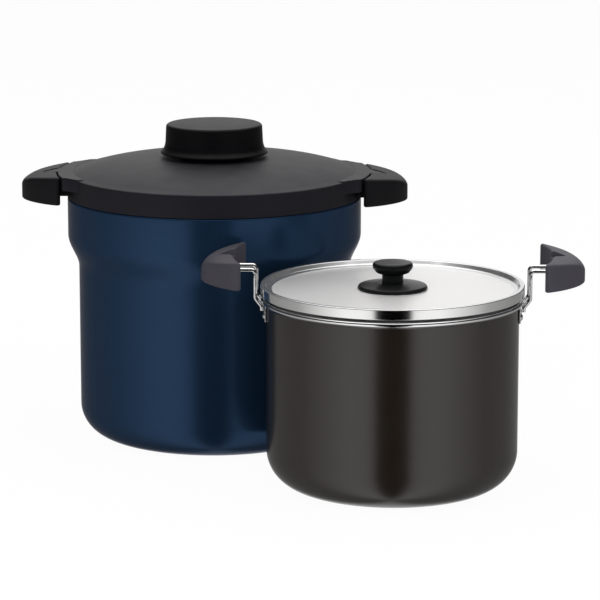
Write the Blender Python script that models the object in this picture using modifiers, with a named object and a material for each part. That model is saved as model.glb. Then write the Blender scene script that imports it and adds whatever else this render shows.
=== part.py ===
"""Thermal cooker: a vacuum-insulated vessel with its lid, and the cooking pot with its own lid beside it.

Units are metres and +Z is up. The origin lies on the surface that the set stands on, at the middle
of the set's outline. The side handles of the vessel and the grips of the pot point along X.
"""

import math
from typing import NamedTuple

import bmesh
import bpy
from mathutils import Matrix, Vector

# General clearances
SEAT_GAP = 0.0003
EAR_GAP = 0.0008
EAR_FLOOR_GAP = 0.0004
SKIRT_CUT_CLEARANCE = 0.0010
CUT_OVERRUN = 0.004
MERGE_DISTANCE = 0.00001

# Facet counts and shading angles
TURN_STEPS = 32
FINE_STEPS = 64
KNOB_STEPS = 20
SEAL_STEPS = 10
WASHER_STEPS = 16
SCREW_STEPS = 8
ARC_POINTS = 4
ROUNDING_STEPS = 2
HEAD_ROUNDING_STEPS = 3
PLAN_POINTS = 6
DOME_STEPS = 5
FOAM_STEPS = 3
WIRE_BEND_POINTS = 2
WIRE_RING_STEPS = 2
BEVEL_STEPS = 2
BEVEL_ANGLE = math.radians(40)
SMOOTH_ANGLE = math.radians(35)

# The two sides of the set: direction along X, and its word in the names
SIDES = ((-1, "left"), (1, "right"))

# How the two halves of the set stand beside each other: the gap between their rims, and the
# bearing of the pot from the vessel
SET_GAP = 0.0037
POT_BEARING = math.radians(49.35)

# Vessel: outer shell
SHELL_SHEET = 0.0006
SHELL_UPPER_RADIUS = 0.1246
SHELL_LEDGE_Z = 0.2055
SHELL_LEDGE_ROUND = 0.0015
SHOULDER_STEP = 0.0090
SHOULDER_DROP = 0.0320
SHOULDER_HEIGHT = 0.0280
SHELL_CORNER_RADIUS = 0.034
FOOT_RING_WIDTH = 0.0096
FOOT_RECESS_DEPTH = 0.003
FOOT_RECESS_RUN = 0.003
NECK_SETBACK = 0.0050
NECK_HEIGHT = 0.0068

# Vessel: inner liner, the getter and the seal of the vacuum space
LINER_SHEET = 0.0006
VACUUM_GAP_UPPER = 0.0094
VACUUM_GAP_LOWER = 0.0089
LINER_FLOOR_Z = 0.0200
LINER_CORNER_RADIUS = 0.026
GETTER_RADIUS = 0.008
GETTER_THICKNESS = 0.0025
SEAL_HOLE_RADIUS = 0.0015
SEAL_STEM_RADIUS = 0.0012
SEAL_STEM_LENGTH = 0.002
SEAL_HEAD_RADIUS = 0.005
SEAL_HEAD_THICKNESS = 0.0012

# Vessel: mouth collar with its two lugs
COLLAR_WALL = 0.0020
COLLAR_TOP_THICKNESS = 0.0025
COLLAR_LIP_DEPTH = 0.008
LUG_HALF_WIDTH = 0.028
LUG_THICKNESS = 0.0047
LUG_RISE = 0.0023
LUG_ENGAGEMENT = 0.0147

# Vessel: side handles and their screws
HANDLE_GAP = 0.0087
HANDLE_LENGTH = 0.0307
HANDLE_HALF_WIDTH = 0.0447
HANDLE_HEIGHT = 0.0242
HANDLE_TOP_STEP = 0.0002
HANDLE_ROUND = 0.0024
HANDLE_CROWN_DROP = 0.0095
HANDLE_NOTCH_HALF_WIDTH = 0.0125
HANDLE_NOTCH_LENGTH = 0.0137
HANDLE_SCREW_END_MARGIN = 0.0060
HANDLE_SCREW_SIDE_MARGIN = 0.0120
HANDLE_SCREW_RADIUS = 0.0014
HANDLE_SCREW_HEAD_RADIUS = 0.0030
HANDLE_SCREW_HEAD_HEIGHT = 0.0018
HANDLE_SCREW_BITE = 0.0031
HANDLE_SCREW_RECESS = 0.0004

# The crown of a grip falls away from its inner edge: shares of its length, and of its drop
CROWN_SHARES = ((0.0, 0.0), (0.35, 0.16), (0.67, 0.36), (0.86, 0.62), (1.0, 1.0))
PLAN_LENGTH_POWER = 1.35
PLAN_WIDTH_POWER = 1.7

# Vessel lid: top cover with skirt and ears
COVER_WALL = 0.0022
SKIRT_GAP = 0.0005
SKIRT_HEIGHT = 0.0186
COVER_EDGE_ROUND = 0.0018
COVER_DOME_RISE = 0.0118
COVER_DOME_POWER = 2.3
EAR_THICKNESS = 0.0112

# Vessel lid: under cover and insulation
UNDER_COVER_WALL = 0.0020
UNDER_COVER_PAN_SETBACK = 0.0032
UNDER_COVER_STEP_RUN = 0.0015
UNDER_COVER_STEP_RISE = 0.0022
UNDER_COVER_RIM_HEIGHT = 0.0042
INSULATION_HOLE_MARGIN = 0.0066
INSULATION_SETBACK = 0.0106

# Vessel lid: knob and its screws; the flare's middle is given as shares of its width and height
KNOB_TOP_RADIUS = 0.0406
KNOB_TOP_ROUND = 0.0030
KNOB_DRAFT = 0.0010
KNOB_FLARE = 0.0038
KNOB_FLARE_MIDDLE_SHARES = (0.25, 0.5)
KNOB_FLANGE_EDGE = 0.0014
KNOB_LIFT = 0.0060
KNOB_FLARE_HEIGHT = 0.0073
KNOB_HEIGHT = 0.0220
KNOB_STEM_SETBACK = 0.0106
KNOB_STEM_ROUND = 0.0030
KNOB_SCREW_COUNT = 3
KNOB_SCREW_SETBACK = 0.0120
KNOB_SCREW_RADIUS = 0.0016
KNOB_SCREW_HEAD_RADIUS = 0.0034
KNOB_SCREW_HEAD_HEIGHT = 0.0020
KNOB_SCREW_LENGTH = 0.0120

# Pot
POT_INNER_RADIUS = 0.1000
POT_WALL = 0.0008
POT_HEIGHT = 0.1540
POT_BASE_THICKNESS = 0.0035
POT_CORNER_RADIUS = 0.027
POT_RIM_OVERHANG = 0.0042
POT_RIM_BEAD = 0.0030
POT_FLARE_HEIGHT = 0.0055

# Pot: brackets and rivets; a rivet's dome is given as shares of its head's radius and height
PLATE_THICKNESS = 0.0012
PLATE_HALF_WIDTH = 0.0155
PLATE_DROP = 0.0060
PLATE_HEIGHT = 0.0135
PLATE_CORNER = 0.0030
RIVET_RISE = 0.0050
RIVET_RADIUS = 0.0014
RIVET_HEAD_RADIUS = 0.0027
RIVET_HEAD_HEIGHT = 0.0022
RIVET_DOME_SHARES = ((0.0, 1.0), (0.5, 0.833), (1.0, 0.333))
RIVET_INNER_HEAD_RADIUS = 0.0036
RIVET_INNER_HEAD_HEIGHT = 0.0008

# Pot: wire handles
WIRE_RADIUS = 0.0014
WIRE_LEG_Y = 0.0100
WIRE_END_GAP = 0.0015
WIRE_WELD_MARGIN = 0.0012
WIRE_RIM_GAP = 0.0024
WIRE_KNEE_DROP = 0.0005
WIRE_RISE = 0.0225
WIRE_RUN = 0.0180
WIRE_BITE = 0.0152
WIRE_BEND_RADIUS = 0.0034

# Pot: grips
GRIP_LENGTH = 0.0256
GRIP_HALF_WIDTH = 0.0490
GRIP_HEIGHT = 0.0229
GRIP_UNDER_WIRE = 0.0101
GRIP_CROWN_DROP = 0.0105
GRIP_ROUND = 0.0022
GRIP_NOTCH_HALF_WIDTH = 0.0125
GRIP_NOTCH_LENGTH = 0.0110
GRIP_NOTCH_DEPTH = 0.0050

# Pot lid: pressed sheet
LID_SHEET = 0.0006
LID_BAND_HEIGHT = 0.0101
LID_RING_ROUND = 0.0018
LID_RING_WIDTH = 0.0072
LID_WALL_RUN = 0.0014
LID_PANEL_DROP = 0.0044
LID_SPIGOT_CLEARANCE = 0.0015
LID_SPIGOT_DEPTH = 0.0053

# Pot lid: knob, its base, screw and washer
KNOB_BASE_RADIUS = 0.0280
KNOB_BASE_HEIGHT = 0.0050
KNOB_BASE_EDGE = 0.0022
KNOB_BASE_TOP_RADIUS = 0.0130
KNOB_NECK_RADIUS = 0.0085
KNOB_NECK_HEIGHT = 0.0075
KNOB_HEAD_OVERHANG = 0.0077
KNOB_HEAD_HEIGHT = 0.0088
KNOB_HEAD_ROUND = 0.0018
KNOB_HEAD_TAPER = 0.0006
LID_SCREW_RADIUS = 0.0020
LID_SCREW_HEAD_RADIUS = 0.0038
LID_SCREW_HEAD_HEIGHT = 0.0022
LID_SCREW_GRIP = 0.0080
WASHER_RADIUS = 0.0060
WASHER_THICKNESS = 0.0008

# Derived sizes of the shell, liner and collar
SHELL_LOWER_RADIUS = SHELL_UPPER_RADIUS - SHOULDER_STEP
SHOULDER_TOP_Z = SHELL_LEDGE_Z - SHOULDER_DROP
SHOULDER_BOTTOM_Z = SHOULDER_TOP_Z - SHOULDER_HEIGHT
NECK_RADIUS = SHELL_UPPER_RADIUS - NECK_SETBACK
NECK_TOP_Z = SHELL_LEDGE_Z + NECK_HEIGHT
LINER_UPPER_RADIUS = SHELL_UPPER_RADIUS - SHELL_SHEET - VACUUM_GAP_UPPER - LINER_SHEET
LINER_LOWER_RADIUS = SHELL_LOWER_RADIUS - SHELL_SHEET - VACUUM_GAP_LOWER - LINER_SHEET
LINER_FLANGE_Z = NECK_TOP_Z + SEAT_GAP
LINER_TOP_Z = LINER_FLANGE_Z + LINER_SHEET
COLLAR_CEILING_Z = LINER_TOP_Z + SEAT_GAP
COLLAR_TOP_Z = COLLAR_CEILING_Z + COLLAR_TOP_THICKNESS
COLLAR_BOTTOM_Z = SHELL_LEDGE_Z + SEAT_GAP
COLLAR_INNER_RADIUS = NECK_RADIUS + SEAT_GAP
COLLAR_OUTER_RADIUS = COLLAR_INNER_RADIUS + COLLAR_WALL
COLLAR_LIP_OUTER_RADIUS = LINER_UPPER_RADIUS - SEAT_GAP
COLLAR_LIP_INNER_RADIUS = COLLAR_LIP_OUTER_RADIUS - COLLAR_WALL

# Derived sizes of the vessel's lid
COVER_EDGE_RADIUS = SHELL_UPPER_RADIUS - COVER_EDGE_ROUND
COVER_INNER_RADIUS = SHELL_UPPER_RADIUS - COVER_WALL
SKIRT_BOTTOM_Z = SHELL_LEDGE_Z + SKIRT_GAP
COVER_EDGE_Z = SKIRT_BOTTOM_Z + SKIRT_HEIGHT
COVER_TOP_Z = COVER_EDGE_Z + COVER_EDGE_ROUND
DOME_TOP_Z = COVER_TOP_Z + COVER_DOME_RISE
UNDER_COVER_BOTTOM_Z = COLLAR_TOP_Z + SEAT_GAP
UNDER_COVER_PAN_RADIUS = COLLAR_LIP_INNER_RADIUS - UNDER_COVER_PAN_SETBACK
UNDER_COVER_TOP_Z = UNDER_COVER_BOTTOM_Z + UNDER_COVER_STEP_RISE + UNDER_COVER_WALL
KNOB_WAIST_RADIUS = KNOB_TOP_RADIUS + KNOB_DRAFT
KNOB_FLANGE_RADIUS = KNOB_WAIST_RADIUS + KNOB_FLARE
KNOB_STEM_RADIUS = KNOB_TOP_RADIUS - KNOB_STEM_SETBACK
KNOB_FLANGE_Z = DOME_TOP_Z + KNOB_LIFT
KNOB_FLANGE_TOP_Z = KNOB_FLANGE_Z + KNOB_FLANGE_EDGE
KNOB_WAIST_Z = KNOB_FLANGE_Z + KNOB_FLARE_HEIGHT
KNOB_TOP_Z = KNOB_FLANGE_Z + KNOB_HEIGHT
KNOB_SCREW_CIRCLE = KNOB_STEM_RADIUS - KNOB_SCREW_SETBACK
INSULATION_HOLE_RADIUS = KNOB_SCREW_CIRCLE + KNOB_SCREW_HEAD_RADIUS + INSULATION_HOLE_MARGIN
INSULATION_OUTER_RADIUS = SHELL_UPPER_RADIUS - INSULATION_SETBACK

# Derived places of the handles, lugs, ears and handle screws
HANDLE_INNER_RADIUS = SHELL_UPPER_RADIUS + HANDLE_GAP
HANDLE_TIP_RADIUS = HANDLE_INNER_RADIUS + HANDLE_LENGTH
HANDLE_TOP_Z = COVER_TOP_Z - HANDLE_TOP_STEP
HANDLE_BOTTOM_Z = HANDLE_TOP_Z - HANDLE_HEIGHT
EAR_BOTTOM_Z = HANDLE_TOP_Z - EAR_THICKNESS
LUG_BOTTOM_Z = SHELL_LEDGE_Z + LUG_RISE
LUG_TOP_Z = LUG_BOTTOM_Z + LUG_THICKNESS
LUG_REACH = HANDLE_INNER_RADIUS + LUG_ENGAGEMENT
HANDLE_SCREW_X = LUG_REACH - HANDLE_SCREW_END_MARGIN
HANDLE_SCREW_Y = LUG_HALF_WIDTH - HANDLE_SCREW_SIDE_MARGIN
HANDLE_SCREW_BOTTOM_Z = HANDLE_BOTTOM_Z + HANDLE_SCREW_RECESS
HANDLE_SCREW_LENGTH = LUG_BOTTOM_Z + HANDLE_SCREW_BITE - HANDLE_SCREW_BOTTOM_Z

# Derived sizes of the pot; its rivets go through the middle of the facets beside the X axis
POT_BODY_RADIUS = POT_INNER_RADIUS + POT_WALL
POT_RIM_RADIUS = POT_BODY_RADIUS + POT_RIM_OVERHANG
POT_FLARE_Z = POT_HEIGHT - POT_FLARE_HEIGHT
PLATE_INNER_RADIUS = POT_BODY_RADIUS + SEAT_GAP
PLATE_OUTER_RADIUS = PLATE_INNER_RADIUS + PLATE_THICKNESS
PLATE_TOP_Z = POT_HEIGHT - PLATE_DROP
PLATE_BOTTOM_Z = PLATE_TOP_Z - PLATE_HEIGHT
RIVET_Z = PLATE_BOTTOM_Z + RIVET_RISE
RIVET_ANGLE = math.pi / TURN_STEPS

# Derived places of the wires and grips
WIRE_END_Z = RIVET_Z + RIVET_HEAD_RADIUS + WIRE_END_GAP
WIRE_WELD_TOP_Z = PLATE_TOP_Z - WIRE_WELD_MARGIN
WIRE_RISER_X = POT_RIM_RADIUS + WIRE_RADIUS + WIRE_RIM_GAP
WIRE_KNEE_Z = POT_HEIGHT - WIRE_KNEE_DROP
WIRE_RUN_Z = POT_HEIGHT + WIRE_RISE
GRIP_INNER_RADIUS = WIRE_RISER_X + WIRE_RUN
GRIP_TIP_RADIUS = GRIP_INNER_RADIUS + GRIP_LENGTH
WIRE_LOOP_X = GRIP_INNER_RADIUS + WIRE_BITE
GRIP_BOTTOM_Z = WIRE_RUN_Z - GRIP_UNDER_WIRE
GRIP_TOP_Z = GRIP_BOTTOM_Z + GRIP_HEIGHT

# Derived places of the pot's lid and its knob
LID_BAND_RADIUS = POT_RIM_RADIUS
LID_RING_RADIUS = LID_BAND_RADIUS - LID_RING_WIDTH
LID_SPIGOT_RADIUS = POT_INNER_RADIUS - LID_SPIGOT_CLEARANCE
LID_SHELF_Z = POT_HEIGHT + SEAT_GAP
LID_TOP_Z = LID_SHELF_Z + LID_BAND_HEIGHT
LID_PANEL_Z = LID_TOP_Z - LID_PANEL_DROP
LID_HOLE_RADIUS = LID_SCREW_RADIUS + SEAT_GAP
KNOB_BASE_BOTTOM_Z = LID_PANEL_Z + SEAT_GAP
KNOB_BASE_TOP_Z = KNOB_BASE_BOTTOM_Z + KNOB_BASE_HEIGHT
KNOB_HEAD_RADIUS = KNOB_NECK_RADIUS + KNOB_HEAD_OVERHANG
KNOB_HEAD_BOTTOM_Z = KNOB_BASE_TOP_Z + SEAT_GAP
WASHER_TOP_Z = LID_PANEL_Z - LID_SHEET - SEAT_GAP
WASHER_BOTTOM_Z = WASHER_TOP_Z - WASHER_THICKNESS
LID_SCREW_BOTTOM_Z = WASHER_BOTTOM_Z - SEAT_GAP - LID_SCREW_HEAD_HEIGHT
LID_SCREW_LENGTH = KNOB_HEAD_BOTTOM_Z + LID_SCREW_GRIP - LID_SCREW_BOTTOM_Z

# Where the two axes stand, with the set's outline centred on the origin
AXIS_DISTANCE = SHELL_UPPER_RADIUS + SET_GAP + POT_RIM_RADIUS
POT_OFFSET_X = AXIS_DISTANCE * math.cos(POT_BEARING)
POT_OFFSET_Y = AXIS_DISTANCE * math.sin(POT_BEARING)
SET_WIDTH = HANDLE_TIP_RADIUS + POT_OFFSET_X + GRIP_TIP_RADIUS
SET_DEPTH = POT_RIM_RADIUS + POT_OFFSET_Y + SHELL_UPPER_RADIUS
VESSEL_X = HANDLE_TIP_RADIUS - SET_WIDTH / 2
VESSEL_Y = SET_DEPTH / 2 - SHELL_UPPER_RADIUS
POT_X = VESSEL_X + POT_OFFSET_X
POT_Y = VESSEL_Y - POT_OFFSET_Y

# Turns an outline drawn in plan so that it faces along +X, with its own Y upwards
FACE_ALONG_X = Matrix(((0, 0, 1, 0), (1, 0, 0, 0), (0, 1, 0, 0), (0, 0, 0, 1)))


class GripForm(NamedTuple):
    """Sizes of a side grip and of the pointed notch in its inner edge."""

    inner_radius: float
    tip_radius: float
    half_width: float
    bottom_z: float
    top_z: float
    crown_drop: float
    edge_round: float
    notch_length: float
    notch_half_width: float
    notch_floor_z: float


VESSEL_HANDLE = GripForm(
    inner_radius=HANDLE_INNER_RADIUS,
    tip_radius=HANDLE_TIP_RADIUS,
    half_width=HANDLE_HALF_WIDTH,
    bottom_z=HANDLE_BOTTOM_Z,
    top_z=HANDLE_TOP_Z,
    crown_drop=HANDLE_CROWN_DROP,
    edge_round=HANDLE_ROUND,
    notch_length=HANDLE_NOTCH_LENGTH,
    notch_half_width=HANDLE_NOTCH_HALF_WIDTH,
    notch_floor_z=EAR_BOTTOM_Z - EAR_FLOOR_GAP,
)

POT_GRIP = GripForm(
    inner_radius=GRIP_INNER_RADIUS,
    tip_radius=GRIP_TIP_RADIUS,
    half_width=GRIP_HALF_WIDTH,
    bottom_z=GRIP_BOTTOM_Z,
    top_z=GRIP_TOP_Z,
    crown_drop=GRIP_CROWN_DROP,
    edge_round=GRIP_ROUND,
    notch_length=GRIP_NOTCH_LENGTH,
    notch_half_width=GRIP_NOTCH_HALF_WIDTH,
    notch_floor_z=GRIP_TOP_Z - GRIP_NOTCH_DEPTH,
)


def clear_scene():
    """Removes what is in the scene, so that the file holds the cooker alone."""
    for old in list(bpy.data.objects):
        bpy.data.objects.remove(old, do_unlink=True)


def new_collection(name):
    group = bpy.data.collections.new(name)
    bpy.context.scene.collection.children.link(group)
    return group


def new_material(name, colour, roughness, metallic):
    """A finish, which is made the first time that it is asked for."""
    if name in bpy.data.materials:
        return bpy.data.materials[name]
    material = bpy.data.materials.new(name)
    material.use_nodes = True
    shader = material.node_tree.nodes["Principled BSDF"]
    shader.inputs["Base Color"].default_value = (*colour, 1.0)
    shader.inputs["Roughness"].default_value = roughness
    shader.inputs["Metallic"].default_value = metallic
    return material


def painted_steel():
    return new_material("navy_metallic_paint", (0.012, 0.03, 0.065), 0.28, 0.6)


def brushed_liner():
    return new_material("brushed_liner_steel", (0.62, 0.61, 0.59), 0.32, 1.0)


def polished_steel():
    return new_material("polished_lid_steel", (0.75, 0.74, 0.72), 0.08, 1.0)


def coated_steel():
    return new_material("brown_pot_coating", (0.05, 0.04, 0.033), 0.35, 0.5)


def wire_steel():
    return new_material("bright_wire_steel", (0.70, 0.70, 0.70), 0.15, 1.0)


def screw_steel():
    return new_material("zinc_screw_steel", (0.55, 0.55, 0.55), 0.35, 1.0)


def black_resin():
    return new_material("black_resin", (0.03, 0.03, 0.034), 0.45, 0.0)


def grey_resin():
    return new_material("grey_grip_resin", (0.05, 0.047, 0.062), 0.42, 0.0)


def grey_foam():
    return new_material("insulation_foam", (0.5, 0.5, 0.47), 0.9, 0.0)


def getter_alloy():
    return new_material("getter_alloy", (0.3, 0.29, 0.28), 0.6, 0.8)


def new_empty(name, group, parent=None, location=(0.0, 0.0, 0.0)):
    """An empty on a joint's axis, which carries the pieces of one moving body."""
    empty = bpy.data.objects.new(name, None)
    group.objects.link(empty)
    empty.parent = parent
    empty.location = location
    return empty


def place(obj, group, parent, material=None):
    """Puts an object in its collection, on its parent, and gives it its material."""
    group.objects.link(obj)
    obj.parent = parent
    if material is not None:
        obj.data.materials.append(material)
    return obj


def as_cutter(obj, group, parent):
    place(obj, group, parent)
    obj.hide_render = True
    obj.display_type = "WIRE"
    return obj


def combine(target, tool, operation, name):
    """Cuts, joins or trims one object by another, with the exact solver."""
    boolean = target.modifiers.new(name, "BOOLEAN")
    boolean.object = tool
    boolean.operation = operation
    boolean.solver = "EXACT"
    return boolean


def arc(centre_r, centre_z, radius, start, end, count=ARC_POINTS):
    """Points of an arc in the profile plane, from the start angle to the end angle in degrees."""
    points = []
    for index in range(count + 1):
        angle = math.radians(start + (end - start) * index / count)
        points.append((centre_r + radius * math.cos(angle), centre_z + radius * math.sin(angle)))
    return points


def shoulder(upper_radius, lower_radius):
    """The smooth step of the vessel wall, from its wide upper part to its narrow lower part."""
    points = []
    for index in range(ARC_POINTS + 1):
        share = index / ARC_POINTS
        radius = lower_radius + (upper_radius - lower_radius) * (1 + math.cos(math.pi * share)) / 2
        points.append((radius, SHOULDER_TOP_Z + (SHOULDER_BOTTOM_Z - SHOULDER_TOP_Z) * share))
    return points


def turned(name, profile, steps, closed=False):
    """A body of revolution: the profile runs down its outer side, and the Screw turns it round Z."""
    mesh = bpy.data.meshes.new(name)
    vertices = [(radius, 0.0, height) for radius, height in profile]
    edges = [(index, index + 1) for index in range(len(vertices) - 1)]
    if closed:
        edges.append((len(vertices) - 1, 0))
    mesh.from_pydata(vertices, edges, [])
    obj = bpy.data.objects.new(name, mesh)
    screw = obj.modifiers.new("turn", "SCREW")
    screw.axis = "Z"
    screw.angle = 2 * math.pi
    screw.steps = steps
    screw.render_steps = steps
    screw.use_merge_vertices = True
    screw.merge_threshold = MERGE_DISTANCE
    screw.use_smooth_shade = True
    return obj


def half_facet_on(obj, steps):
    """Turns a body of revolution by half a facet, so that its edges miss the corners of what it trims."""
    obj.data.transform(Matrix.Rotation(math.pi / steps, 4, "Z"))
    return obj


def sheet(obj, thickness):
    """Gives a turned open surface its sheet thickness, towards its inner side."""
    solidify = obj.modifiers.new("sheet", "SOLIDIFY")
    solidify.thickness = thickness
    solidify.offset = -1.0
    solidify.use_even_offset = True
    solidify.use_rim = True
    return obj


def mesh_object(name, bm):
    mesh = bpy.data.meshes.new(name)
    bm.to_mesh(mesh)
    bm.free()
    return bpy.data.objects.new(name, mesh)


def box(name, low, high):
    """A block between two corners."""
    bm = bmesh.new()
    size = [top - bottom for bottom, top in zip(low, high)]
    middle = [(top + bottom) / 2 for bottom, top in zip(low, high)]
    matrix = Matrix.Translation(middle) @ Matrix.Diagonal((*size, 1.0))
    bmesh.ops.create_cube(bm, size=1.0, matrix=matrix)
    return mesh_object(name, bm)


def rod(name, radius, start, end, steps=SCREW_STEPS):
    """A round rod between two points."""
    bm = bmesh.new()
    run = Vector(end) - Vector(start)
    turn = run.to_track_quat("Z", "Y").to_matrix().to_4x4()
    matrix = Matrix.Translation((Vector(start) + Vector(end)) / 2) @ turn
    bmesh.ops.create_cone(
        bm, cap_ends=True, segments=steps, radius1=radius, radius2=radius, depth=run.length, matrix=matrix
    )
    return mesh_object(name, bm)


def curve_to_mesh(obj, name):
    """Turns a curve into a closed mesh with welded caps, and removes the curve."""
    bpy.context.scene.collection.objects.link(obj)
    graph = bpy.context.evaluated_depsgraph_get()
    mesh = bpy.data.meshes.new_from_object(obj.evaluated_get(graph))
    bm = bmesh.new()
    bm.from_mesh(mesh)
    bmesh.ops.remove_doubles(bm, verts=bm.verts, dist=MERGE_DISTANCE)
    bmesh.ops.recalc_face_normals(bm, faces=bm.faces)
    bm.to_mesh(mesh)
    bm.free()
    mesh.name = name
    result = bpy.data.objects.new(name, mesh)
    result.matrix_world = obj.matrix_world.copy()
    bpy.data.objects.remove(obj, do_unlink=True)
    return result


def prism(name, outline, bottom, top):
    """A flat outline in plan, filled and extruded between two heights."""
    curve = bpy.data.curves.new(name + "_outline", "CURVE")
    curve.dimensions = "2D"
    curve.fill_mode = "BOTH"
    curve.extrude = (top - bottom) / 2
    spline = curve.splines.new("POLY")
    spline.points.add(len(outline) - 1)
    for point, (x, y) in zip(spline.points, outline):
        point.co = (x, y, 0.0, 1.0)
    spline.use_cyclic_u = True
    obj = bpy.data.objects.new(name + "_outline", curve)
    obj = curve_to_mesh(obj, name)
    obj.data.transform(Matrix.Translation((0.0, 0.0, (top + bottom) / 2)))
    return obj


def tube(name, points, radius):
    """A round wire along a row of points."""
    curve = bpy.data.curves.new(name + "_path", "CURVE")
    curve.dimensions = "3D"
    curve.bevel_depth = radius
    curve.bevel_resolution = WIRE_RING_STEPS
    curve.use_fill_caps = True
    spline = curve.splines.new("POLY")
    spline.points.add(len(points) - 1)
    for point, spot in zip(spline.points, points):
        point.co = (*spot, 1.0)
    return curve_to_mesh(bpy.data.objects.new(name + "_path", curve), name)


def rounded_path(corners, bend_radius, count=WIRE_BEND_POINTS):
    """A path through corner points, with each corner turned into an arc of the bend radius."""
    points = [Vector(corners[0])]
    for before, corner, after in zip(corners, corners[1:], corners[2:]):
        corner = Vector(corner)
        back = (Vector(before) - corner).normalized()
        ahead = (Vector(after) - corner).normalized()
        half = back.angle(ahead) / 2
        centre = corner + (back + ahead).normalized() * bend_radius / math.sin(half)
        first = (corner + back * bend_radius / math.tan(half) - centre).normalized()
        last = (corner + ahead * bend_radius / math.tan(half) - centre).normalized()
        for index in range(count + 1):
            points.append(centre + first.slerp(last, index / count) * bend_radius)
    points.append(Vector(corners[-1]))
    return points


def chord_x(radius, half_width):
    """Distance from the axis at which a circle about it has narrowed to a half width."""
    return math.sqrt(radius**2 - half_width**2)


def crown(form):
    """The top of a grip as a profile: nearly level inside, and falling away towards the tip."""
    run = form.tip_radius - form.inner_radius
    return [(form.inner_radius + run * along, form.top_z - form.crown_drop * down) for along, down in CROWN_SHARES]


def grip_outline(form):
    """Plan of a grip: a blunt wedge that tapers outwards, whose inner end is trimmed by the envelope."""
    root = chord_x(form.inner_radius, form.half_width)
    length = form.tip_radius - root
    upper = [(root - CUT_OVERRUN, form.half_width)]
    for index in range(PLAN_POINTS + 1):
        share = math.sin(math.pi / 2 * index / PLAN_POINTS)
        width = (1 - share**PLAN_LENGTH_POWER) ** (1 / PLAN_WIDTH_POWER)
        upper.append((root + length * share, form.half_width * width))
    return upper + [(x, -y) for x, y in reversed(upper[:-1])]


def turn_half(obj, side):
    """Turns a piece made on the +X side round to the -X side."""
    if side < 0:
        obj.data.transform(Matrix.Rotation(math.pi, 4, "Z"))
    return obj


def turned_envelope(name, section):
    """A finely turned body that trims a plan outline."""
    return half_facet_on(turned(name + "_envelope", section, FINE_STEPS, closed=True), FINE_STEPS)


def moulded_grip(name, parts, cutters, parent, material, side, form):
    """A side grip: the plan outline trimmed by a turned envelope, with a concave inner face and round edges."""
    blank = prism(name, grip_outline(form), form.bottom_z - CUT_OVERRUN, form.top_z + CUT_OVERRUN)
    grip = place(turn_half(blank, side), parts, parent, material)
    section = crown(form)
    beyond = form.tip_radius + CUT_OVERRUN
    section += [(beyond, section[-1][1]), (beyond, form.bottom_z), (form.inner_radius, form.bottom_z)]
    combine(grip, as_cutter(turned_envelope(name, section), cutters, parent), "INTERSECT", "envelope")
    bevel = grip.modifiers.new("round_edges", "BEVEL")
    bevel.width = form.edge_round
    bevel.segments = BEVEL_STEPS
    bevel.limit_method = "ANGLE"
    bevel.angle_limit = BEVEL_ANGLE
    cut_notch(grip, name + "_notch", cutters, parent, side, form)
    return grip


def cut_notch(grip, name, cutters, parent, side, form):
    """Cuts the pointed notch in the inner edge of a grip's top."""
    mouth_x = form.inner_radius - CUT_OVERRUN
    mouth = form.notch_half_width * (form.notch_length + CUT_OVERRUN) / form.notch_length
    plan = [(mouth_x, mouth), (form.inner_radius + form.notch_length, 0.0), (mouth_x, -mouth)]
    notch = turn_half(prism(name, plan, form.notch_floor_z, form.top_z + CUT_OVERRUN), side)
    combine(grip, as_cutter(notch, cutters, parent), "DIFFERENCE", "notch")


def outer_shell(parts, cutters, parent):
    """The painted outer shell: neck, ledge, wide wall, shoulder, narrow wall and round bottom corner."""
    corner_r = SHELL_LOWER_RADIUS - SHELL_CORNER_RADIUS
    ledge_r = SHELL_UPPER_RADIUS - SHELL_LEDGE_ROUND
    recess_r = corner_r - FOOT_RING_WIDTH
    profile = [(NECK_RADIUS, NECK_TOP_Z), (NECK_RADIUS, SHELL_LEDGE_Z)]
    profile += arc(ledge_r, SHELL_LEDGE_Z - SHELL_LEDGE_ROUND, SHELL_LEDGE_ROUND, 90, 0, ROUNDING_STEPS)
    profile += shoulder(SHELL_UPPER_RADIUS, SHELL_LOWER_RADIUS)
    profile += arc(corner_r, SHELL_CORNER_RADIUS, SHELL_CORNER_RADIUS, 0, -90)
    profile += [(recess_r, 0.0), (recess_r - FOOT_RECESS_RUN, FOOT_RECESS_DEPTH)]
    profile += [(SEAL_HOLE_RADIUS, FOOT_RECESS_DEPTH)]
    shell = sheet(turned("outer_shell", profile, TURN_STEPS), SHELL_SHEET)
    return place(shell, parts, parent, painted_steel())


def inner_liner(parts, cutters, parent):
    """The steel liner: a flange that lies on the neck, a wide mouth, a shoulder and a deep well."""
    upper = LINER_UPPER_RADIUS + LINER_SHEET
    lower = LINER_LOWER_RADIUS + LINER_SHEET
    corner = LINER_CORNER_RADIUS + LINER_SHEET
    bottom = LINER_FLOOR_Z - LINER_SHEET
    profile = [(NECK_RADIUS, LINER_FLANGE_Z), (upper, LINER_FLANGE_Z)]
    profile += shoulder(upper, lower)
    profile += arc(lower - corner, bottom + corner, corner, 0, -90)
    profile += [(0.0, bottom)]
    liner = sheet(turned("inner_liner", profile, TURN_STEPS), LINER_SHEET)
    return place(liner, parts, parent, brushed_liner())


def vacuum_getter(parts, cutters, parent):
    """The getter tablet under the liner's floor, inside the vacuum space."""
    top = LINER_FLOOR_Z - LINER_SHEET - SEAT_GAP
    profile = [(0.0, top), (GETTER_RADIUS, top), (GETTER_RADIUS, top - GETTER_THICKNESS)]
    profile += [(0.0, top - GETTER_THICKNESS)]
    return place(turned("vacuum_getter", profile, SCREW_STEPS), parts, parent, getter_alloy())


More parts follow.
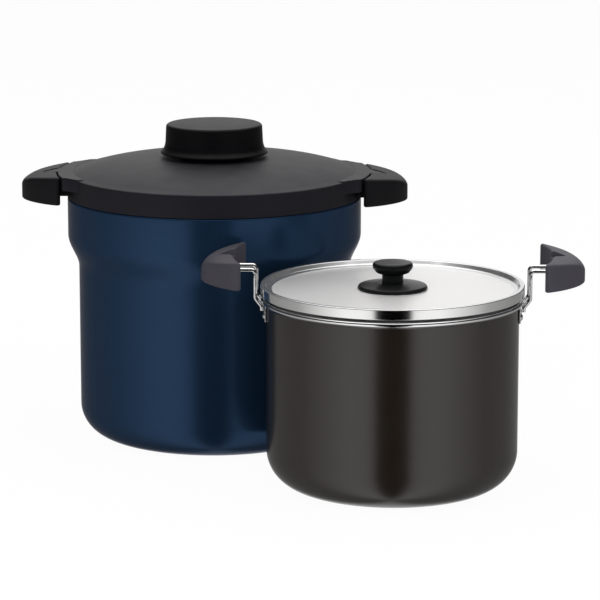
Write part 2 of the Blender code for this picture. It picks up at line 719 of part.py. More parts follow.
def evacuation_seal(parts, cutters, parent):
    """The plug that closes the hole through which the vacuum space was pumped out."""
    top = FOOT_RECESS_DEPTH - SEAT_GAP
    profile = [(0.0, top + SEAL_STEM_LENGTH), (SEAL_STEM_RADIUS, top + SEAL_STEM_LENGTH)]
    profile += [(SEAL_STEM_RADIUS, top), (SEAL_HEAD_RADIUS, top)]
    profile += [(SEAL_HEAD_RADIUS - SEAL_HEAD_THICKNESS / 2, top - SEAL_HEAD_THICKNESS)]
    profile += [(0.0, top - SEAL_HEAD_THICKNESS)]
    return place(turned("evacuation_seal", profile, SEAL_STEPS), parts, parent, screw_steel())


def handle_screw_places():
    """Plan places of the four handle screws, two for each side."""
    return [
        (side, side * HANDLE_SCREW_X, along * HANDLE_SCREW_Y) for side, word in SIDES for along in (-1, 1)
    ]


def mouth_collar(parts, cutters, parent):
    """The resin collar over the mouth, with a lug on each side that carries a handle."""
    lip_bottom = COLLAR_CEILING_Z - COLLAR_LIP_DEPTH
    profile = [(COLLAR_LIP_INNER_RADIUS, COLLAR_TOP_Z), (COLLAR_OUTER_RADIUS, COLLAR_TOP_Z)]
    profile += [(COLLAR_OUTER_RADIUS, COLLAR_BOTTOM_Z), (COLLAR_INNER_RADIUS, COLLAR_BOTTOM_Z)]
    profile += [(COLLAR_INNER_RADIUS, COLLAR_CEILING_Z), (COLLAR_LIP_OUTER_RADIUS, COLLAR_CEILING_Z)]
    profile += [(COLLAR_LIP_OUTER_RADIUS, lip_bottom), (COLLAR_LIP_INNER_RADIUS, lip_bottom)]
    collar = turned("mouth_collar", profile, TURN_STEPS, closed=True)
    place(collar, parts, parent, black_resin())
    for side, word in SIDES:
        combine(collar, collar_lug(f"collar_lug_{word}", cutters, parent, side), "UNION", "lug")
    for side, x, y in handle_screw_places():
        below = (x, y, LUG_BOTTOM_Z - CUT_OVERRUN)
        top = (x, y, LUG_BOTTOM_Z + HANDLE_SCREW_BITE + SEAT_GAP)
        hole = rod("lug_screw_hole", HANDLE_SCREW_RADIUS + SEAT_GAP, below, top)
        combine(collar, as_cutter(hole, cutters, parent), "DIFFERENCE", "screw_hole")
    return collar


def collar_lug(name, cutters, parent, side):
    """A flat lug that starts inside the collar's wall, where it is trimmed round, and ends in its handle."""
    wall_middle = COLLAR_INNER_RADIUS + COLLAR_WALL / 2
    root = chord_x(wall_middle, LUG_HALF_WIDTH)
    lug = box(name, (root, -LUG_HALF_WIDTH, LUG_BOTTOM_Z), (LUG_REACH, LUG_HALF_WIDTH, LUG_TOP_Z))
    above, below = LUG_TOP_Z + CUT_OVERRUN, LUG_BOTTOM_Z - CUT_OVERRUN
    within = root - CUT_OVERRUN
    section = [(within, above), (wall_middle, above), (wall_middle, below), (within, below)]
    trim = turned(name + "_trim", section, TURN_STEPS, closed=True)
    combine(lug, as_cutter(trim, cutters, parent), "DIFFERENCE", "trim")
    return as_cutter(turn_half(lug, side), cutters, parent)


def vessel_handle(parts, cutters, parent, side, name):
    """A side handle of the vessel, with the pocket for its lug and the notch for the lid's ear."""
    handle = moulded_grip(name, parts, cutters, parent, black_resin(), side, VESSEL_HANDLE)
    half = LUG_HALF_WIDTH + SEAT_GAP
    low = (chord_x(HANDLE_INNER_RADIUS, half) - CUT_OVERRUN, -half, LUG_BOTTOM_Z - SEAT_GAP)
    pocket = turn_half(box(name + "_pocket", low, (LUG_REACH + SEAT_GAP, half, LUG_TOP_Z + SEAT_GAP)), side)
    combine(handle, as_cutter(pocket, cutters, parent), "DIFFERENCE", "lug_pocket")
    below = HANDLE_BOTTOM_Z - CUT_OVERRUN
    seat = HANDLE_SCREW_BOTTOM_Z + HANDLE_SCREW_HEAD_HEIGHT + SEAT_GAP
    for screw_side, x, y in handle_screw_places():
        if screw_side == side:
            sink = rod("handle_screw_sink", HANDLE_SCREW_HEAD_RADIUS + SEAT_GAP, (x, y, below), (x, y, seat))
            hole = rod("handle_screw_hole", HANDLE_SCREW_RADIUS + SEAT_GAP, (x, y, below), (x, y, LUG_BOTTOM_Z))
            combine(handle, as_cutter(sink, cutters, parent), "DIFFERENCE", "screw_sink")
            combine(handle, as_cutter(hole, cutters, parent), "DIFFERENCE", "screw_hole")
    return handle


def pan_screw(name, parts, parent, location, head_radius, head_height, radius, length, material):
    """A pan-head screw that points up: its head is below and its shank above."""
    chamfer = radius / 2
    profile = [(0.0, length), (radius - chamfer, length), (radius, length - chamfer)]
    profile += [(radius, head_height), (head_radius, head_height)]
    profile += [(head_radius, head_height / 2), (head_radius - head_height / 2, 0.0), (0.0, 0.0)]
    screw = place(turned(name, profile, SCREW_STEPS), parts, parent, material)
    screw.location = location
    return screw


def vessel_handle_screws(parts, cutters, parent):
    """Two screws from below through each handle into its lug."""
    steel = screw_steel()
    for number, (side, x, y) in enumerate(handle_screw_places(), start=1):
        pan_screw(
            f"vessel_handle_screw_{number}", parts, parent, (x, y, HANDLE_SCREW_BOTTOM_Z),
            HANDLE_SCREW_HEAD_RADIUS, HANDLE_SCREW_HEAD_HEIGHT, HANDLE_SCREW_RADIUS, HANDLE_SCREW_LENGTH, steel,
        )


def dome_height(radius):
    """Height of the dome's outer side at one distance from the axis."""
    return DOME_TOP_Z - COVER_DOME_RISE * (radius / COVER_EDGE_RADIUS) ** COVER_DOME_POWER


def dome_profile(start, end, count, depth=0.0):
    """The dome's curve at an even depth under its outer side, between two distances from the axis."""
    radii = [start + (end - start) * index / count for index in range(count + 1)]
    return [(radius, dome_height(radius) - depth) for radius in radii]


def lid_top_cover(parts, cutters, parent):
    """The lid's black cover: dome, skirt flush with the vessel, and an ear that fits each handle."""
    profile = dome_profile(0.0, COVER_EDGE_RADIUS, DOME_STEPS)
    profile += arc(COVER_EDGE_RADIUS, COVER_EDGE_Z, COVER_EDGE_ROUND, 90, 0, ROUNDING_STEPS)[1:]
    profile += [(SHELL_UPPER_RADIUS, SKIRT_BOTTOM_Z)]
    cover = sheet(turned("lid_top_cover", profile, TURN_STEPS), COVER_WALL)
    place(cover, parts, parent, black_resin())
    half = LUG_HALF_WIDTH + SKIRT_CUT_CLEARANCE
    low = (chord_x(COVER_INNER_RADIUS, half) - CUT_OVERRUN, -half, SKIRT_BOTTOM_Z - CUT_OVERRUN)
    high = (LUG_REACH, half, LUG_TOP_Z + SKIRT_CUT_CLEARANCE)
    for side, word in SIDES:
        gap = turn_half(box(f"skirt_gap_{word}", low, high), side)
        combine(cover, as_cutter(gap, cutters, parent), "DIFFERENCE", "lug_gap")
    for side, word in SIDES:
        combine(cover, lid_ear(f"lid_ear_{word}", cutters, parent, side), "UNION", "ear")
    for x, y in knob_screw_places():
        below = (x, y, COVER_TOP_Z - CUT_OVERRUN)
        hole = rod("cover_screw_hole", KNOB_SCREW_RADIUS + SEAT_GAP, below, (x, y, KNOB_FLANGE_Z))
        combine(cover, as_cutter(hole, cutters, parent), "DIFFERENCE", "knob_screw_hole")
    return cover


def ear_outline():
    """Plan of an ear: round along the handle, with the tongue that lies in the handle's notch."""
    reach = HANDLE_INNER_RADIUS - EAR_GAP
    root = SHELL_UPPER_RADIUS - COVER_WALL / 2
    spread = math.asin(HANDLE_HALF_WIDTH / reach)
    mouth = math.asin(HANDLE_NOTCH_HALF_WIDTH / reach) - EAR_GAP / reach
    tip = HANDLE_INNER_RADIUS + HANDLE_NOTCH_LENGTH - 2 * EAR_GAP
    upper = [(chord_x(root, HANDLE_HALF_WIDTH) - CUT_OVERRUN, HANDLE_HALF_WIDTH)]
    for index in range(ARC_POINTS + 1):
        angle = spread + (mouth - spread) * index / ARC_POINTS
        upper.append((reach * math.cos(angle), reach * math.sin(angle)))
    return upper + [(tip, 0.0)] + [(x, -y) for x, y in reversed(upper)]


def lid_ear(name, cutters, parent, side):
    """An ear of the lid, level with the lid's edge at its root and with the handle's crown outside."""
    root = SHELL_UPPER_RADIUS - COVER_WALL / 2
    ear = turn_half(prism(name, ear_outline(), EAR_BOTTOM_Z - CUT_OVERRUN, COVER_TOP_Z + CUT_OVERRUN), side)
    section = [(root, COVER_EDGE_Z), (SHELL_UPPER_RADIUS, COVER_EDGE_Z + COVER_EDGE_ROUND / 2)]
    section += crown(VESSEL_HANDLE)[:-1]
    section += [(section[-1][0], EAR_BOTTOM_Z), (root, EAR_BOTTOM_Z)]
    combine(ear, as_cutter(turned_envelope(name, section), cutters, parent), "INTERSECT", "envelope")
    return as_cutter(ear, cutters, parent)


def lid_under_cover(parts, cutters, parent):
    """The lid's lower cover: a rim that lies on the collar round a raised pan."""
    rim_r = COVER_INNER_RADIUS - SEAT_GAP
    pan_z = UNDER_COVER_BOTTOM_Z + UNDER_COVER_STEP_RISE
    profile = [(rim_r, UNDER_COVER_BOTTOM_Z + UNDER_COVER_RIM_HEIGHT), (rim_r, UNDER_COVER_BOTTOM_Z)]
    profile += [(UNDER_COVER_PAN_RADIUS + UNDER_COVER_STEP_RUN, UNDER_COVER_BOTTOM_Z)]
    profile += [(UNDER_COVER_PAN_RADIUS, pan_z), (0.0, pan_z)]
    cover = sheet(turned("lid_under_cover", profile, TURN_STEPS), UNDER_COVER_WALL)
    return place(cover, parts, parent, black_resin())


def lid_insulation(parts, cutters, parent):
    """The ring of foam between the two covers of the lid."""
    bottom = UNDER_COVER_TOP_Z + SEAT_GAP
    inner, outer = INSULATION_HOLE_RADIUS, INSULATION_OUTER_RADIUS
    profile = dome_profile(inner, outer, FOAM_STEPS, COVER_WALL + 2 * SEAT_GAP)
    profile += [(outer, bottom), (inner, bottom)]
    foam = turned("lid_insulation", profile, TURN_STEPS, closed=True)
    return place(foam, parts, parent, grey_foam())


def knob_screw_places():
    """Plan places of the screws that hold the lid's knob."""
    places = []
    for index in range(KNOB_SCREW_COUNT):
        angle = 2 * math.pi * index / KNOB_SCREW_COUNT + math.pi / 2
        places.append((KNOB_SCREW_CIRCLE * math.cos(angle), KNOB_SCREW_CIRCLE * math.sin(angle)))
    return places


def knob_screw_bottom_z():
    """Height of the knob screws' heads, which lie against the under side of the dome."""
    seat = dome_height(KNOB_SCREW_CIRCLE + KNOB_SCREW_HEAD_RADIUS) - COVER_WALL - SEAT_GAP
    return seat - KNOB_SCREW_HEAD_HEIGHT


def lid_knob(parts, cutters, parent):
    """The wide knob of the vessel lid: flat top, slightly flared wall, thin flange and a stem below."""
    stem_bottom = DOME_TOP_Z + SEAT_GAP
    top_r = KNOB_TOP_RADIUS - KNOB_TOP_ROUND
    flare_share, rise_share = KNOB_FLARE_MIDDLE_SHARES
    flare_z = KNOB_WAIST_Z + (KNOB_FLANGE_TOP_Z - KNOB_WAIST_Z) * rise_share
    profile = [(0.0, KNOB_TOP_Z)]
    profile += arc(top_r, KNOB_TOP_Z - KNOB_TOP_ROUND, KNOB_TOP_ROUND, 90, 0, HEAD_ROUNDING_STEPS)
    profile += [(KNOB_WAIST_RADIUS, KNOB_WAIST_Z), (KNOB_WAIST_RADIUS + KNOB_FLARE * flare_share, flare_z)]
    profile += [(KNOB_FLANGE_RADIUS, KNOB_FLANGE_TOP_Z), (KNOB_FLANGE_RADIUS, KNOB_FLANGE_Z)]
    profile += [(KNOB_STEM_RADIUS + KNOB_STEM_ROUND, KNOB_FLANGE_Z)]
    profile += [(KNOB_STEM_RADIUS, KNOB_FLANGE_Z - KNOB_STEM_ROUND)]
    profile += [(KNOB_STEM_RADIUS, stem_bottom), (0.0, stem_bottom)]
    knob = place(turned("lid_knob", profile, TURN_STEPS), parts, parent, black_resin())
    for x, y in knob_screw_places():
        below = (x, y, stem_bottom - CUT_OVERRUN)
        top = (x, y, knob_screw_bottom_z() + KNOB_SCREW_LENGTH + SEAT_GAP)
        hole = rod("knob_screw_hole", KNOB_SCREW_RADIUS + SEAT_GAP, below, top)
        combine(knob, as_cutter(hole, cutters, parent), "DIFFERENCE", "screw_hole")
    return knob


def lid_knob_screws(parts, cutters, parent):
    """The screws that come from inside the lid through the dome into the knob."""
    steel = screw_steel()
    for number, (x, y) in enumerate(knob_screw_places(), start=1):
        pan_screw(
            f"lid_knob_screw_{number}", parts, parent, (x, y, knob_screw_bottom_z()),
            KNOB_SCREW_HEAD_RADIUS, KNOB_SCREW_HEAD_HEIGHT, KNOB_SCREW_RADIUS, KNOB_SCREW_LENGTH, steel,
        )


def pot_body(parts, cutters, parent):
    """The pot: rolled rim, flare, straight wall, round bottom corner and thick flat base."""
    bead = POT_RIM_BEAD / 2
    corner = POT_CORNER_RADIUS
    inner_corner = corner - POT_WALL
    profile = [(0.0, POT_BASE_THICKNESS)]
    profile += arc(POT_INNER_RADIUS - inner_corner, POT_BASE_THICKNESS + inner_corner, inner_corner, -90, 0)
    profile += [(POT_INNER_RADIUS, POT_FLARE_Z), (POT_RIM_RADIUS - POT_RIM_BEAD, POT_HEIGHT)]
    profile += arc(POT_RIM_RADIUS - bead, POT_HEIGHT - bead, bead, 90, -90)
    profile += [(POT_BODY_RADIUS, POT_FLARE_Z)]
    profile += arc(POT_BODY_RADIUS - corner, corner, corner, 0, -90)
    profile += [(0.0, 0.0)]
    pot = turned("pot_body", profile, TURN_STEPS)
    place(pot, parts, parent, coated_steel())
    for side, along in rivet_places():
        inside = rivet_point(side, along, POT_INNER_RADIUS - CUT_OVERRUN)
        outside = rivet_point(side, along, POT_BODY_RADIUS + CUT_OVERRUN)
        hole = rod("pot_rivet_hole", RIVET_RADIUS + SEAT_GAP, inside, outside)
        combine(pot, as_cutter(hole, cutters, parent), "DIFFERENCE", "rivet_hole")
    return pot


def rivet_places():
    """Side and direction of each rivet: two through each bracket plate."""
    return [(side, along) for side, word in SIDES for along in (-1, 1)]


def rivet_point(side, along, radius):
    """A point on the axis of a rivet, at one distance from the pot's axis."""
    return (side * radius * math.cos(RIVET_ANGLE), along * radius * math.sin(RIVET_ANGLE), RIVET_Z)


def wall_radius(radius):
    """Distance from the axis to the middle of a facet of the turned wall."""
    return radius * math.cos(math.pi / TURN_STEPS)


def plate_outline():
    """Front view of a bracket plate, with round corners."""
    right, left = PLATE_HALF_WIDTH - PLATE_CORNER, PLATE_CORNER - PLATE_HALF_WIDTH
    low, high = PLATE_BOTTOM_Z + PLATE_CORNER, PLATE_TOP_Z - PLATE_CORNER
    outline = arc(right, high, PLATE_CORNER, 90, 0, ROUNDING_STEPS)
    outline += arc(right, low, PLATE_CORNER, 0, -90, ROUNDING_STEPS)
    outline += arc(left, low, PLATE_CORNER, -90, -180, ROUNDING_STEPS)
    outline += arc(left, high, PLATE_CORNER, -180, -270, ROUNDING_STEPS)
    return outline


def pot_bracket(parts, cutters, parent, side, name):
    """A bracket plate, bent to the wall of the pot, with two rivet holes."""
    section = [(PLATE_INNER_RADIUS, PLATE_TOP_Z), (PLATE_OUTER_RADIUS, PLATE_TOP_Z)]
    section += [(PLATE_OUTER_RADIUS, PLATE_BOTTOM_Z), (PLATE_INNER_RADIUS, PLATE_BOTTOM_Z)]
    plate = turned(name, section, TURN_STEPS, closed=True)
    place(plate, parts, parent, wire_steel())
    near = chord_x(POT_INNER_RADIUS, PLATE_HALF_WIDTH)
    window = prism(name + "_window", plate_outline(), near, POT_RIM_RADIUS)
    window.data.transform(FACE_ALONG_X)
    combine(plate, as_cutter(turn_half(window, side), cutters, parent), "INTERSECT", "window")
    for rivet_side, along in rivet_places():
        if rivet_side == side:
            inside = rivet_point(side, along, PLATE_INNER_RADIUS - CUT_OVERRUN)
            outside = rivet_point(side, along, PLATE_OUTER_RADIUS + CUT_OVERRUN)
            hole = rod("plate_rivet_hole", RIVET_RADIUS + SEAT_GAP, inside, outside)
            combine(plate, as_cutter(hole, cutters, parent), "DIFFERENCE", "rivet_hole")
    return plate


def rivet_profile():
    """Profile of a rivet: a domed head outside, a shank through plate and wall, and a flat head inside."""
    head_seat = wall_radius(PLATE_OUTER_RADIUS) + SEAT_GAP
    inner_seat = wall_radius(POT_INNER_RADIUS) - SEAT_GAP
    inner_end = inner_seat - RIVET_INNER_HEAD_HEIGHT
    profile = [(RIVET_HEAD_RADIUS * out, head_seat + RIVET_HEAD_HEIGHT * up) for out, up in RIVET_DOME_SHARES]
    profile += [(RIVET_HEAD_RADIUS, head_seat), (RIVET_RADIUS, head_seat), (RIVET_RADIUS, inner_seat)]
    profile += [(RIVET_INNER_HEAD_RADIUS, inner_seat), (RIVET_INNER_HEAD_RADIUS, inner_end), (0.0, inner_end)]
    return profile


def pot_rivets(parts, cutters, parent):
    """The rivets, each along its own radius of the pot."""
    steel = wire_steel()
    for number, (side, along) in enumerate(rivet_places(), start=1):
        rivet = place(turned(f"pot_rivet_{number}", rivet_profile(), SCREW_STEPS), parts, parent, steel)
        axis = Vector(rivet_point(side, along, POT_BODY_RADIUS)) - Vector((0.0, 0.0, RIVET_Z))
        rivet.rotation_euler = axis.to_track_quat("Z", "Y").to_euler()
        rivet.location = (0.0, 0.0, RIVET_Z)


def wire_corners(side):
    """Corner points of a handle wire: up from the plate, over the rim, out into the grip and back."""
    plate_x = PLATE_OUTER_RADIUS - WIRE_LEG_Y * math.tan(RIVET_ANGLE)
    end_x = plate_x + (WIRE_RADIUS + SEAT_GAP) / math.cos(RIVET_ANGLE)
    leg = [
        (end_x, WIRE_END_Z),
        (end_x, WIRE_WELD_TOP_Z),
        (WIRE_RISER_X, WIRE_KNEE_Z),
        (WIRE_RISER_X, WIRE_RUN_Z),
        (WIRE_LOOP_X, WIRE_RUN_Z),
    ]
    there = [(side * x, WIRE_LEG_Y, z) for x, z in leg]
    back = [(side * x, -WIRE_LEG_Y, z) for x, z in reversed(leg)]
    return there + back


def pot_wire(parts, cutters, parent, side, name):
    wire = tube(name, rounded_path(wire_corners(side), WIRE_BEND_RADIUS), WIRE_RADIUS)
    return place(wire, parts, parent, wire_steel())


def pot_grip(parts, cutters, parent, side, name):
    """A resin grip of the pot, moulded round the loop of its wire."""
    grip = moulded_grip(name, parts, cutters, parent, grey_resin(), side, POT_GRIP)
    path = rounded_path(wire_corners(side), WIRE_BEND_RADIUS)
    tunnel = tube(name + "_tunnel", path, WIRE_RADIUS + SEAT_GAP)
    combine(grip, as_cutter(tunnel, cutters, parent), "DIFFERENCE", "wire_tunnel")
    return grip


def pot_lid_panel(parts, cutters, parent):
    """The pressed lid: recessed panel, raised ring, side band, and a spigot that drops inside the rim."""
    round_r = LID_BAND_RADIUS - LID_RING_ROUND
    profile = [(LID_HOLE_RADIUS, LID_PANEL_Z), (LID_RING_RADIUS - LID_WALL_RUN, LID_PANEL_Z)]
    profile += [(LID_RING_RADIUS, LID_TOP_Z)]
    profile += arc(round_r, LID_TOP_Z - LID_RING_ROUND, LID_RING_ROUND, 90, 0, ROUNDING_STEPS)
    profile += [(LID_BAND_RADIUS, LID_SHELF_Z), (LID_SPIGOT_RADIUS, LID_SHELF_Z)]
    profile += [(LID_SPIGOT_RADIUS, LID_SHELF_Z - LID_SPIGOT_DEPTH)]
    panel = sheet(turned("pot_lid_panel", profile, TURN_STEPS), LID_SHEET)
    return place(panel, parts, parent, polished_steel())


def pot_knob_base(parts, cutters, parent):
    """The round foot of the lid's knob, with a bevelled edge and a gently rising top."""
    edge_z = KNOB_BASE_BOTTOM_Z + KNOB_BASE_EDGE
    profile = [(LID_HOLE_RADIUS, KNOB_BASE_TOP_Z), (KNOB_BASE_TOP_RADIUS, KNOB_BASE_TOP_Z)]
    profile += [(KNOB_BASE_RADIUS - KNOB_BASE_EDGE / 2, edge_z + KNOB_BASE_EDGE / 2)]
    profile += [(KNOB_BASE_RADIUS, edge_z), (KNOB_BASE_RADIUS, KNOB_BASE_BOTTOM_Z)]
    profile += [(LID_HOLE_RADIUS, KNOB_BASE_BOTTOM_Z)]
    return place(turned("pot_knob_base", profile, KNOB_STEPS, closed=True), parts, parent, black_resin())


def pot_knob_head(parts, cutters, parent):
    """The head of the lid's knob: a neck with a mushroom top, and a blind hole for the screw."""
    head_bottom = KNOB_HEAD_BOTTOM_Z + KNOB_NECK_HEIGHT
    top = head_bottom + KNOB_HEAD_HEIGHT
    hole_top = LID_SCREW_BOTTOM_Z + LID_SCREW_LENGTH + SEAT_GAP
    round_r = KNOB_HEAD_RADIUS - KNOB_HEAD_ROUND
    profile = [(0.0, top)]
    profile += arc(round_r, top - KNOB_HEAD_ROUND, KNOB_HEAD_ROUND, 90, 0, HEAD_ROUNDING_STEPS)
    profile += [(KNOB_HEAD_RADIUS - KNOB_HEAD_TAPER, head_bottom + KNOB_HEAD_ROUND)]
    profile += [(round_r, head_bottom), (KNOB_NECK_RADIUS, head_bottom)]
    profile += [(KNOB_NECK_RADIUS, KNOB_HEAD_BOTTOM_Z), (LID_HOLE_RADIUS, KNOB_HEAD_BOTTOM_Z)]
    profile += [(LID_HOLE_RADIUS, hole_top), (0.0, hole_top)]
    return place(turned("pot_knob_head", profile, KNOB_STEPS), parts, parent, black_resin())


def pot_knob_washer(parts, cutters, parent):
    """The washer between the lid's sheet and the head of the knob's screw."""
    profile = [(LID_HOLE_RADIUS, WASHER_TOP_Z), (WASHER_RADIUS, WASHER_TOP_Z)]
    profile += [(WASHER_RADIUS, WASHER_BOTTOM_Z), (LID_HOLE_RADIUS, WASHER_BOTTOM_Z)]
    washer = turned("pot_knob_washer", profile, WASHER_STEPS, closed=True)
    return place(washer, parts, parent, screw_steel())


def pot_knob_screw(parts, cutters, parent):
    """The screw that holds washer, lid, knob base and knob head together."""
    return pan_screw(
        "pot_knob_screw", parts, parent, (0.0, 0.0, LID_SCREW_BOTTOM_Z), LID_SCREW_HEAD_RADIUS,
        LID_SCREW_HEAD_HEIGHT, LID_SCREW_RADIUS, LID_SCREW_LENGTH, screw_steel(),
    )


def shade_smooth(group):
    """Shades round pieces smooth, and keeps their real edges sharp."""
    for obj in group.objects:
        if obj.type == "MESH":
            obj.data.shade_smooth()
            obj.data.set_sharp_from_angle(angle=SMOOTH_ANGLE)


def main():
    clear_scene()
    parts = new_collection("thermal_cooker")
    cutters = new_collection("cutters")
    vessel = new_empty("vessel_axis", parts, location=(VESSEL_X, VESSEL_Y, 0.0))
    vessel_lid = new_empty("vessel_lid_axis", parts, parent=vessel)
    pot = new_empty("pot_axis", parts, location=(POT_X, POT_Y, 0.0))
    pot_lid = new_empty("pot_lid_axis", parts, parent=pot)
    for build in (outer_shell, inner_liner, vacuum_getter, evacuation_seal, mouth_collar, vessel_handle_screws):
        build(parts, cutters, vessel)
    for build in (lid_top_cover, lid_under_cover, lid_insulation, lid_knob, lid_knob_screws):
        build(parts, cutters, vessel_lid)
    for build in (pot_body, pot_rivets):
        build(parts, cutters, pot)
    for build in (pot_lid_panel, pot_knob_base, pot_knob_head, pot_knob_washer, pot_knob_screw):
        build(parts, cutters, pot_lid)
    for side, word in SIDES:
        vessel_handle(parts, cutters, vessel, side, f"vessel_handle_{word}")
        pot_bracket(parts, cutters, pot, side, f"pot_bracket_{word}")
        pot_wire(parts, cutters, pot, side, f"pot_wire_{word}")
        pot_grip(parts, cutters, pot, side, f"pot_grip_{word}")
    shade_smooth(parts)


main()
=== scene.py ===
"""Looks of the thermal cooker: a closed vacuum vessel, and its lidded pot standing beside it.

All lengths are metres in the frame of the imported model. The turned pieces keep their own origin on
the axis that they are turned about, so their materials can measure from that axis.
"""

import logging
import math
from dataclasses import dataclass
from enum import Enum
from typing import Callable, Iterable, Sequence

import bmesh
import bpy
from mathutils import Matrix, Vector


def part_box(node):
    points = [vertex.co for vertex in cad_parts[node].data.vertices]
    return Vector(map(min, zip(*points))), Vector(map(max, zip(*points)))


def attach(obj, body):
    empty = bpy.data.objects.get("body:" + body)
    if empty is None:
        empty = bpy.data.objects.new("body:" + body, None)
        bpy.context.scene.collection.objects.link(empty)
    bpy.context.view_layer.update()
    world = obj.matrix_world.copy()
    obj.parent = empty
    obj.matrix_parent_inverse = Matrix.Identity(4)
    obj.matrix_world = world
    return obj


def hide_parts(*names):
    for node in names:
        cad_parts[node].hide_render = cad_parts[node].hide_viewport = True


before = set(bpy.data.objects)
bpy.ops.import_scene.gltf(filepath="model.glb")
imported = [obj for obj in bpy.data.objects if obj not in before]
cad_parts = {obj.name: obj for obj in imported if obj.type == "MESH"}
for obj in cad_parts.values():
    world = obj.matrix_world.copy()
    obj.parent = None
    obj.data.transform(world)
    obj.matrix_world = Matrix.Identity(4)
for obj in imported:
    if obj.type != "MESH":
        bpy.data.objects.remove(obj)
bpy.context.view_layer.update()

LOG = logging.getLogger("thermal_cooker")

Piece = bpy.types.Object
Node = bpy.types.Node
Socket = bpy.types.NodeSocket
Point = tuple[float, float]
Path = list[Point]

AXIS_EPSILON = 1e-7
SMOOTH_ANGLE = math.radians(32)
STRAIGHT_ANGLE = math.radians(0.3)
HALF_LEG = 0.49
WHOLE_LEG = 0.98
ARC_STEP = math.radians(9)
FINE_TURN = 192
SMALL_TURN = 48
MITRE_LIMIT = 0.3
INSET_LIMIT = 0.5
SOFTEN_ANGLE = math.radians(45)
WELD_SHARE = 1000
MIX_FIRST, MIX_SECOND, MIX_RESULT = 6, 7, 2
NOISE_MEAN = 0.5


class Side(Enum):
    """The two sides of the set that carry handles, seen from the front."""

    LEFT = -1
    RIGHT = 1

    @property
    def word(self) -> str:
        """The side's name in lower case, as the nodes have it."""
        return self.name.lower()


class Body(Enum):
    """The rigid bodies of the model."""

    VESSEL = "vessel"
    VESSEL_LID = "vessel_lid"
    POT = "pot"
    POT_LID = "pot_lid"


# Outlines and profiles


@dataclass(frozen=True)
class Corner:
    """A corner of a profile or of a plan.

    Args:
        x: distance from the axis, or x in a plan.
        y: height, or y in a plan.
        rounding: radius of the arc that replaces the corner.
    """

    x: float
    y: float
    rounding: float = 0.0


def rounded(corners: Sequence[Corner], closed: bool = False) -> Path:
    """Follows corners with straight lines and turns each corner into an arc of its radius.

    Args:
        corners: the corners in order.
        closed: whether the last corner joins the first.

    Returns:
        The points of the path.
    """
    path: Path = []
    count = len(corners)
    for index, corner in enumerate(corners):
        here = Vector((corner.x, corner.y))
        inside = closed or 0 < index < count - 1
        if not inside or corner.rounding <= 0.0:
            path.append((here.x, here.y))
            continue
        before, after = corners[index - 1], corners[(index + 1) % count]
        back = Vector((before.x, before.y)) - here
        ahead = Vector((after.x, after.y)) - here
        room = min(leg.length * (HALF_LEG if near.rounding else WHOLE_LEG)
                   for leg, near in ((back, before), (ahead, after)))
        path += fillet(here, back, ahead, corner.rounding, room)
    return path


def fillet(corner: Vector, back: Vector, ahead: Vector, radius: float, room: float) -> Path:
    """Points of the arc that rounds one corner.

    Args:
        corner: the sharp corner.
        back: from it to the corner ahead of it on the path.
        ahead: from it to the corner that follows it.
        radius: the arc's radius.
        room: how far from the corner the arc may start.

    Returns:
        The arc's points from its first tangent point to its last.
    """
    half = back.angle(ahead) / 2
    if abs(half - math.pi / 2) < STRAIGHT_ANGLE:
        return [(corner.x, corner.y)]
    reach = min(radius / math.tan(half), room)
    radius = reach * math.tan(half)
    back.normalize()
    ahead.normalize()
    centre = corner + (back + ahead).normalized() * (radius / math.sin(half))
    first, last = corner + back * reach - centre, corner + ahead * reach - centre
    turn = first.angle_signed(last)
    steps = max(2, math.ceil(abs(turn) / ARC_STEP))
    points = []
    for step in range(steps + 1):
        spot = centre + Matrix.Rotation(-turn * step / steps, 2) @ first
        points.append((spot.x, spot.y))
    return points


def wave(top: Point, bottom: Point, steps: int = 20) -> list[Corner]:
    """A smooth S-shaped step between two upright stretches of a profile.

    Args:
        top: where the step starts.
        bottom: where it ends.
        steps: number of stretches.

    Returns:
        Corners from the top to the bottom.
    """
    path = []
    for step in range(steps + 1):
        share = step / steps
        blend = (1 - math.cos(math.pi * share)) / 2
        path.append(Corner(top[0] + (bottom[0] - top[0]) * blend, top[1] + (bottom[1] - top[1]) * share))
    return path


def arc(centre: Point, radius: float, start: float, end: float, steps: int = 12) -> Path:
    """Points of an arc in the profile plane.

    Args:
        centre: distance from the axis, and height.
        radius: the arc's radius.
        start: first angle in degrees.
        end: last angle in degrees.
        steps: number of stretches.

    Returns:
        The arc's points.
    """
    turn = [math.radians(start + (end - start) * step / steps) for step in range(steps + 1)]
    return [(centre[0] + radius * math.cos(angle), centre[1] + radius * math.sin(angle)) for angle in turn]


def beside(corners: Sequence[Corner], distance: float) -> list[Corner]:
    """Moves an open row of corners to its right-hand side, and fits the roundings to it.

    Args:
        corners: the row.
        distance: how far it moves.

    Returns:
        The moved row.
    """
    moved = []
    for index, corner in enumerate(corners):
        here = Vector((corner.x, corner.y))
        legs = []
        if index > 0:
            legs.append((here - Vector((corners[index - 1].x, corners[index - 1].y))).normalized())
        if index < len(corners) - 1:
            legs.append((Vector((corners[index + 1].x, corners[index + 1].y)) - here).normalized())
        along = sum(legs, Vector((0.0, 0.0))).normalized()
        offset = Vector((along.y, -along.x)) * distance / max(along.dot(legs[0]), MITRE_LIMIT)
        turn = legs[0].cross(legs[-1])
        rounding = 0.0
        if corner.rounding > 0.0:
            rounding = max(corner.rounding + math.copysign(distance, turn), 0.0)
        moved.append(Corner(max(here.x + offset.x, 0.0), here.y + offset.y, rounding))
    return moved


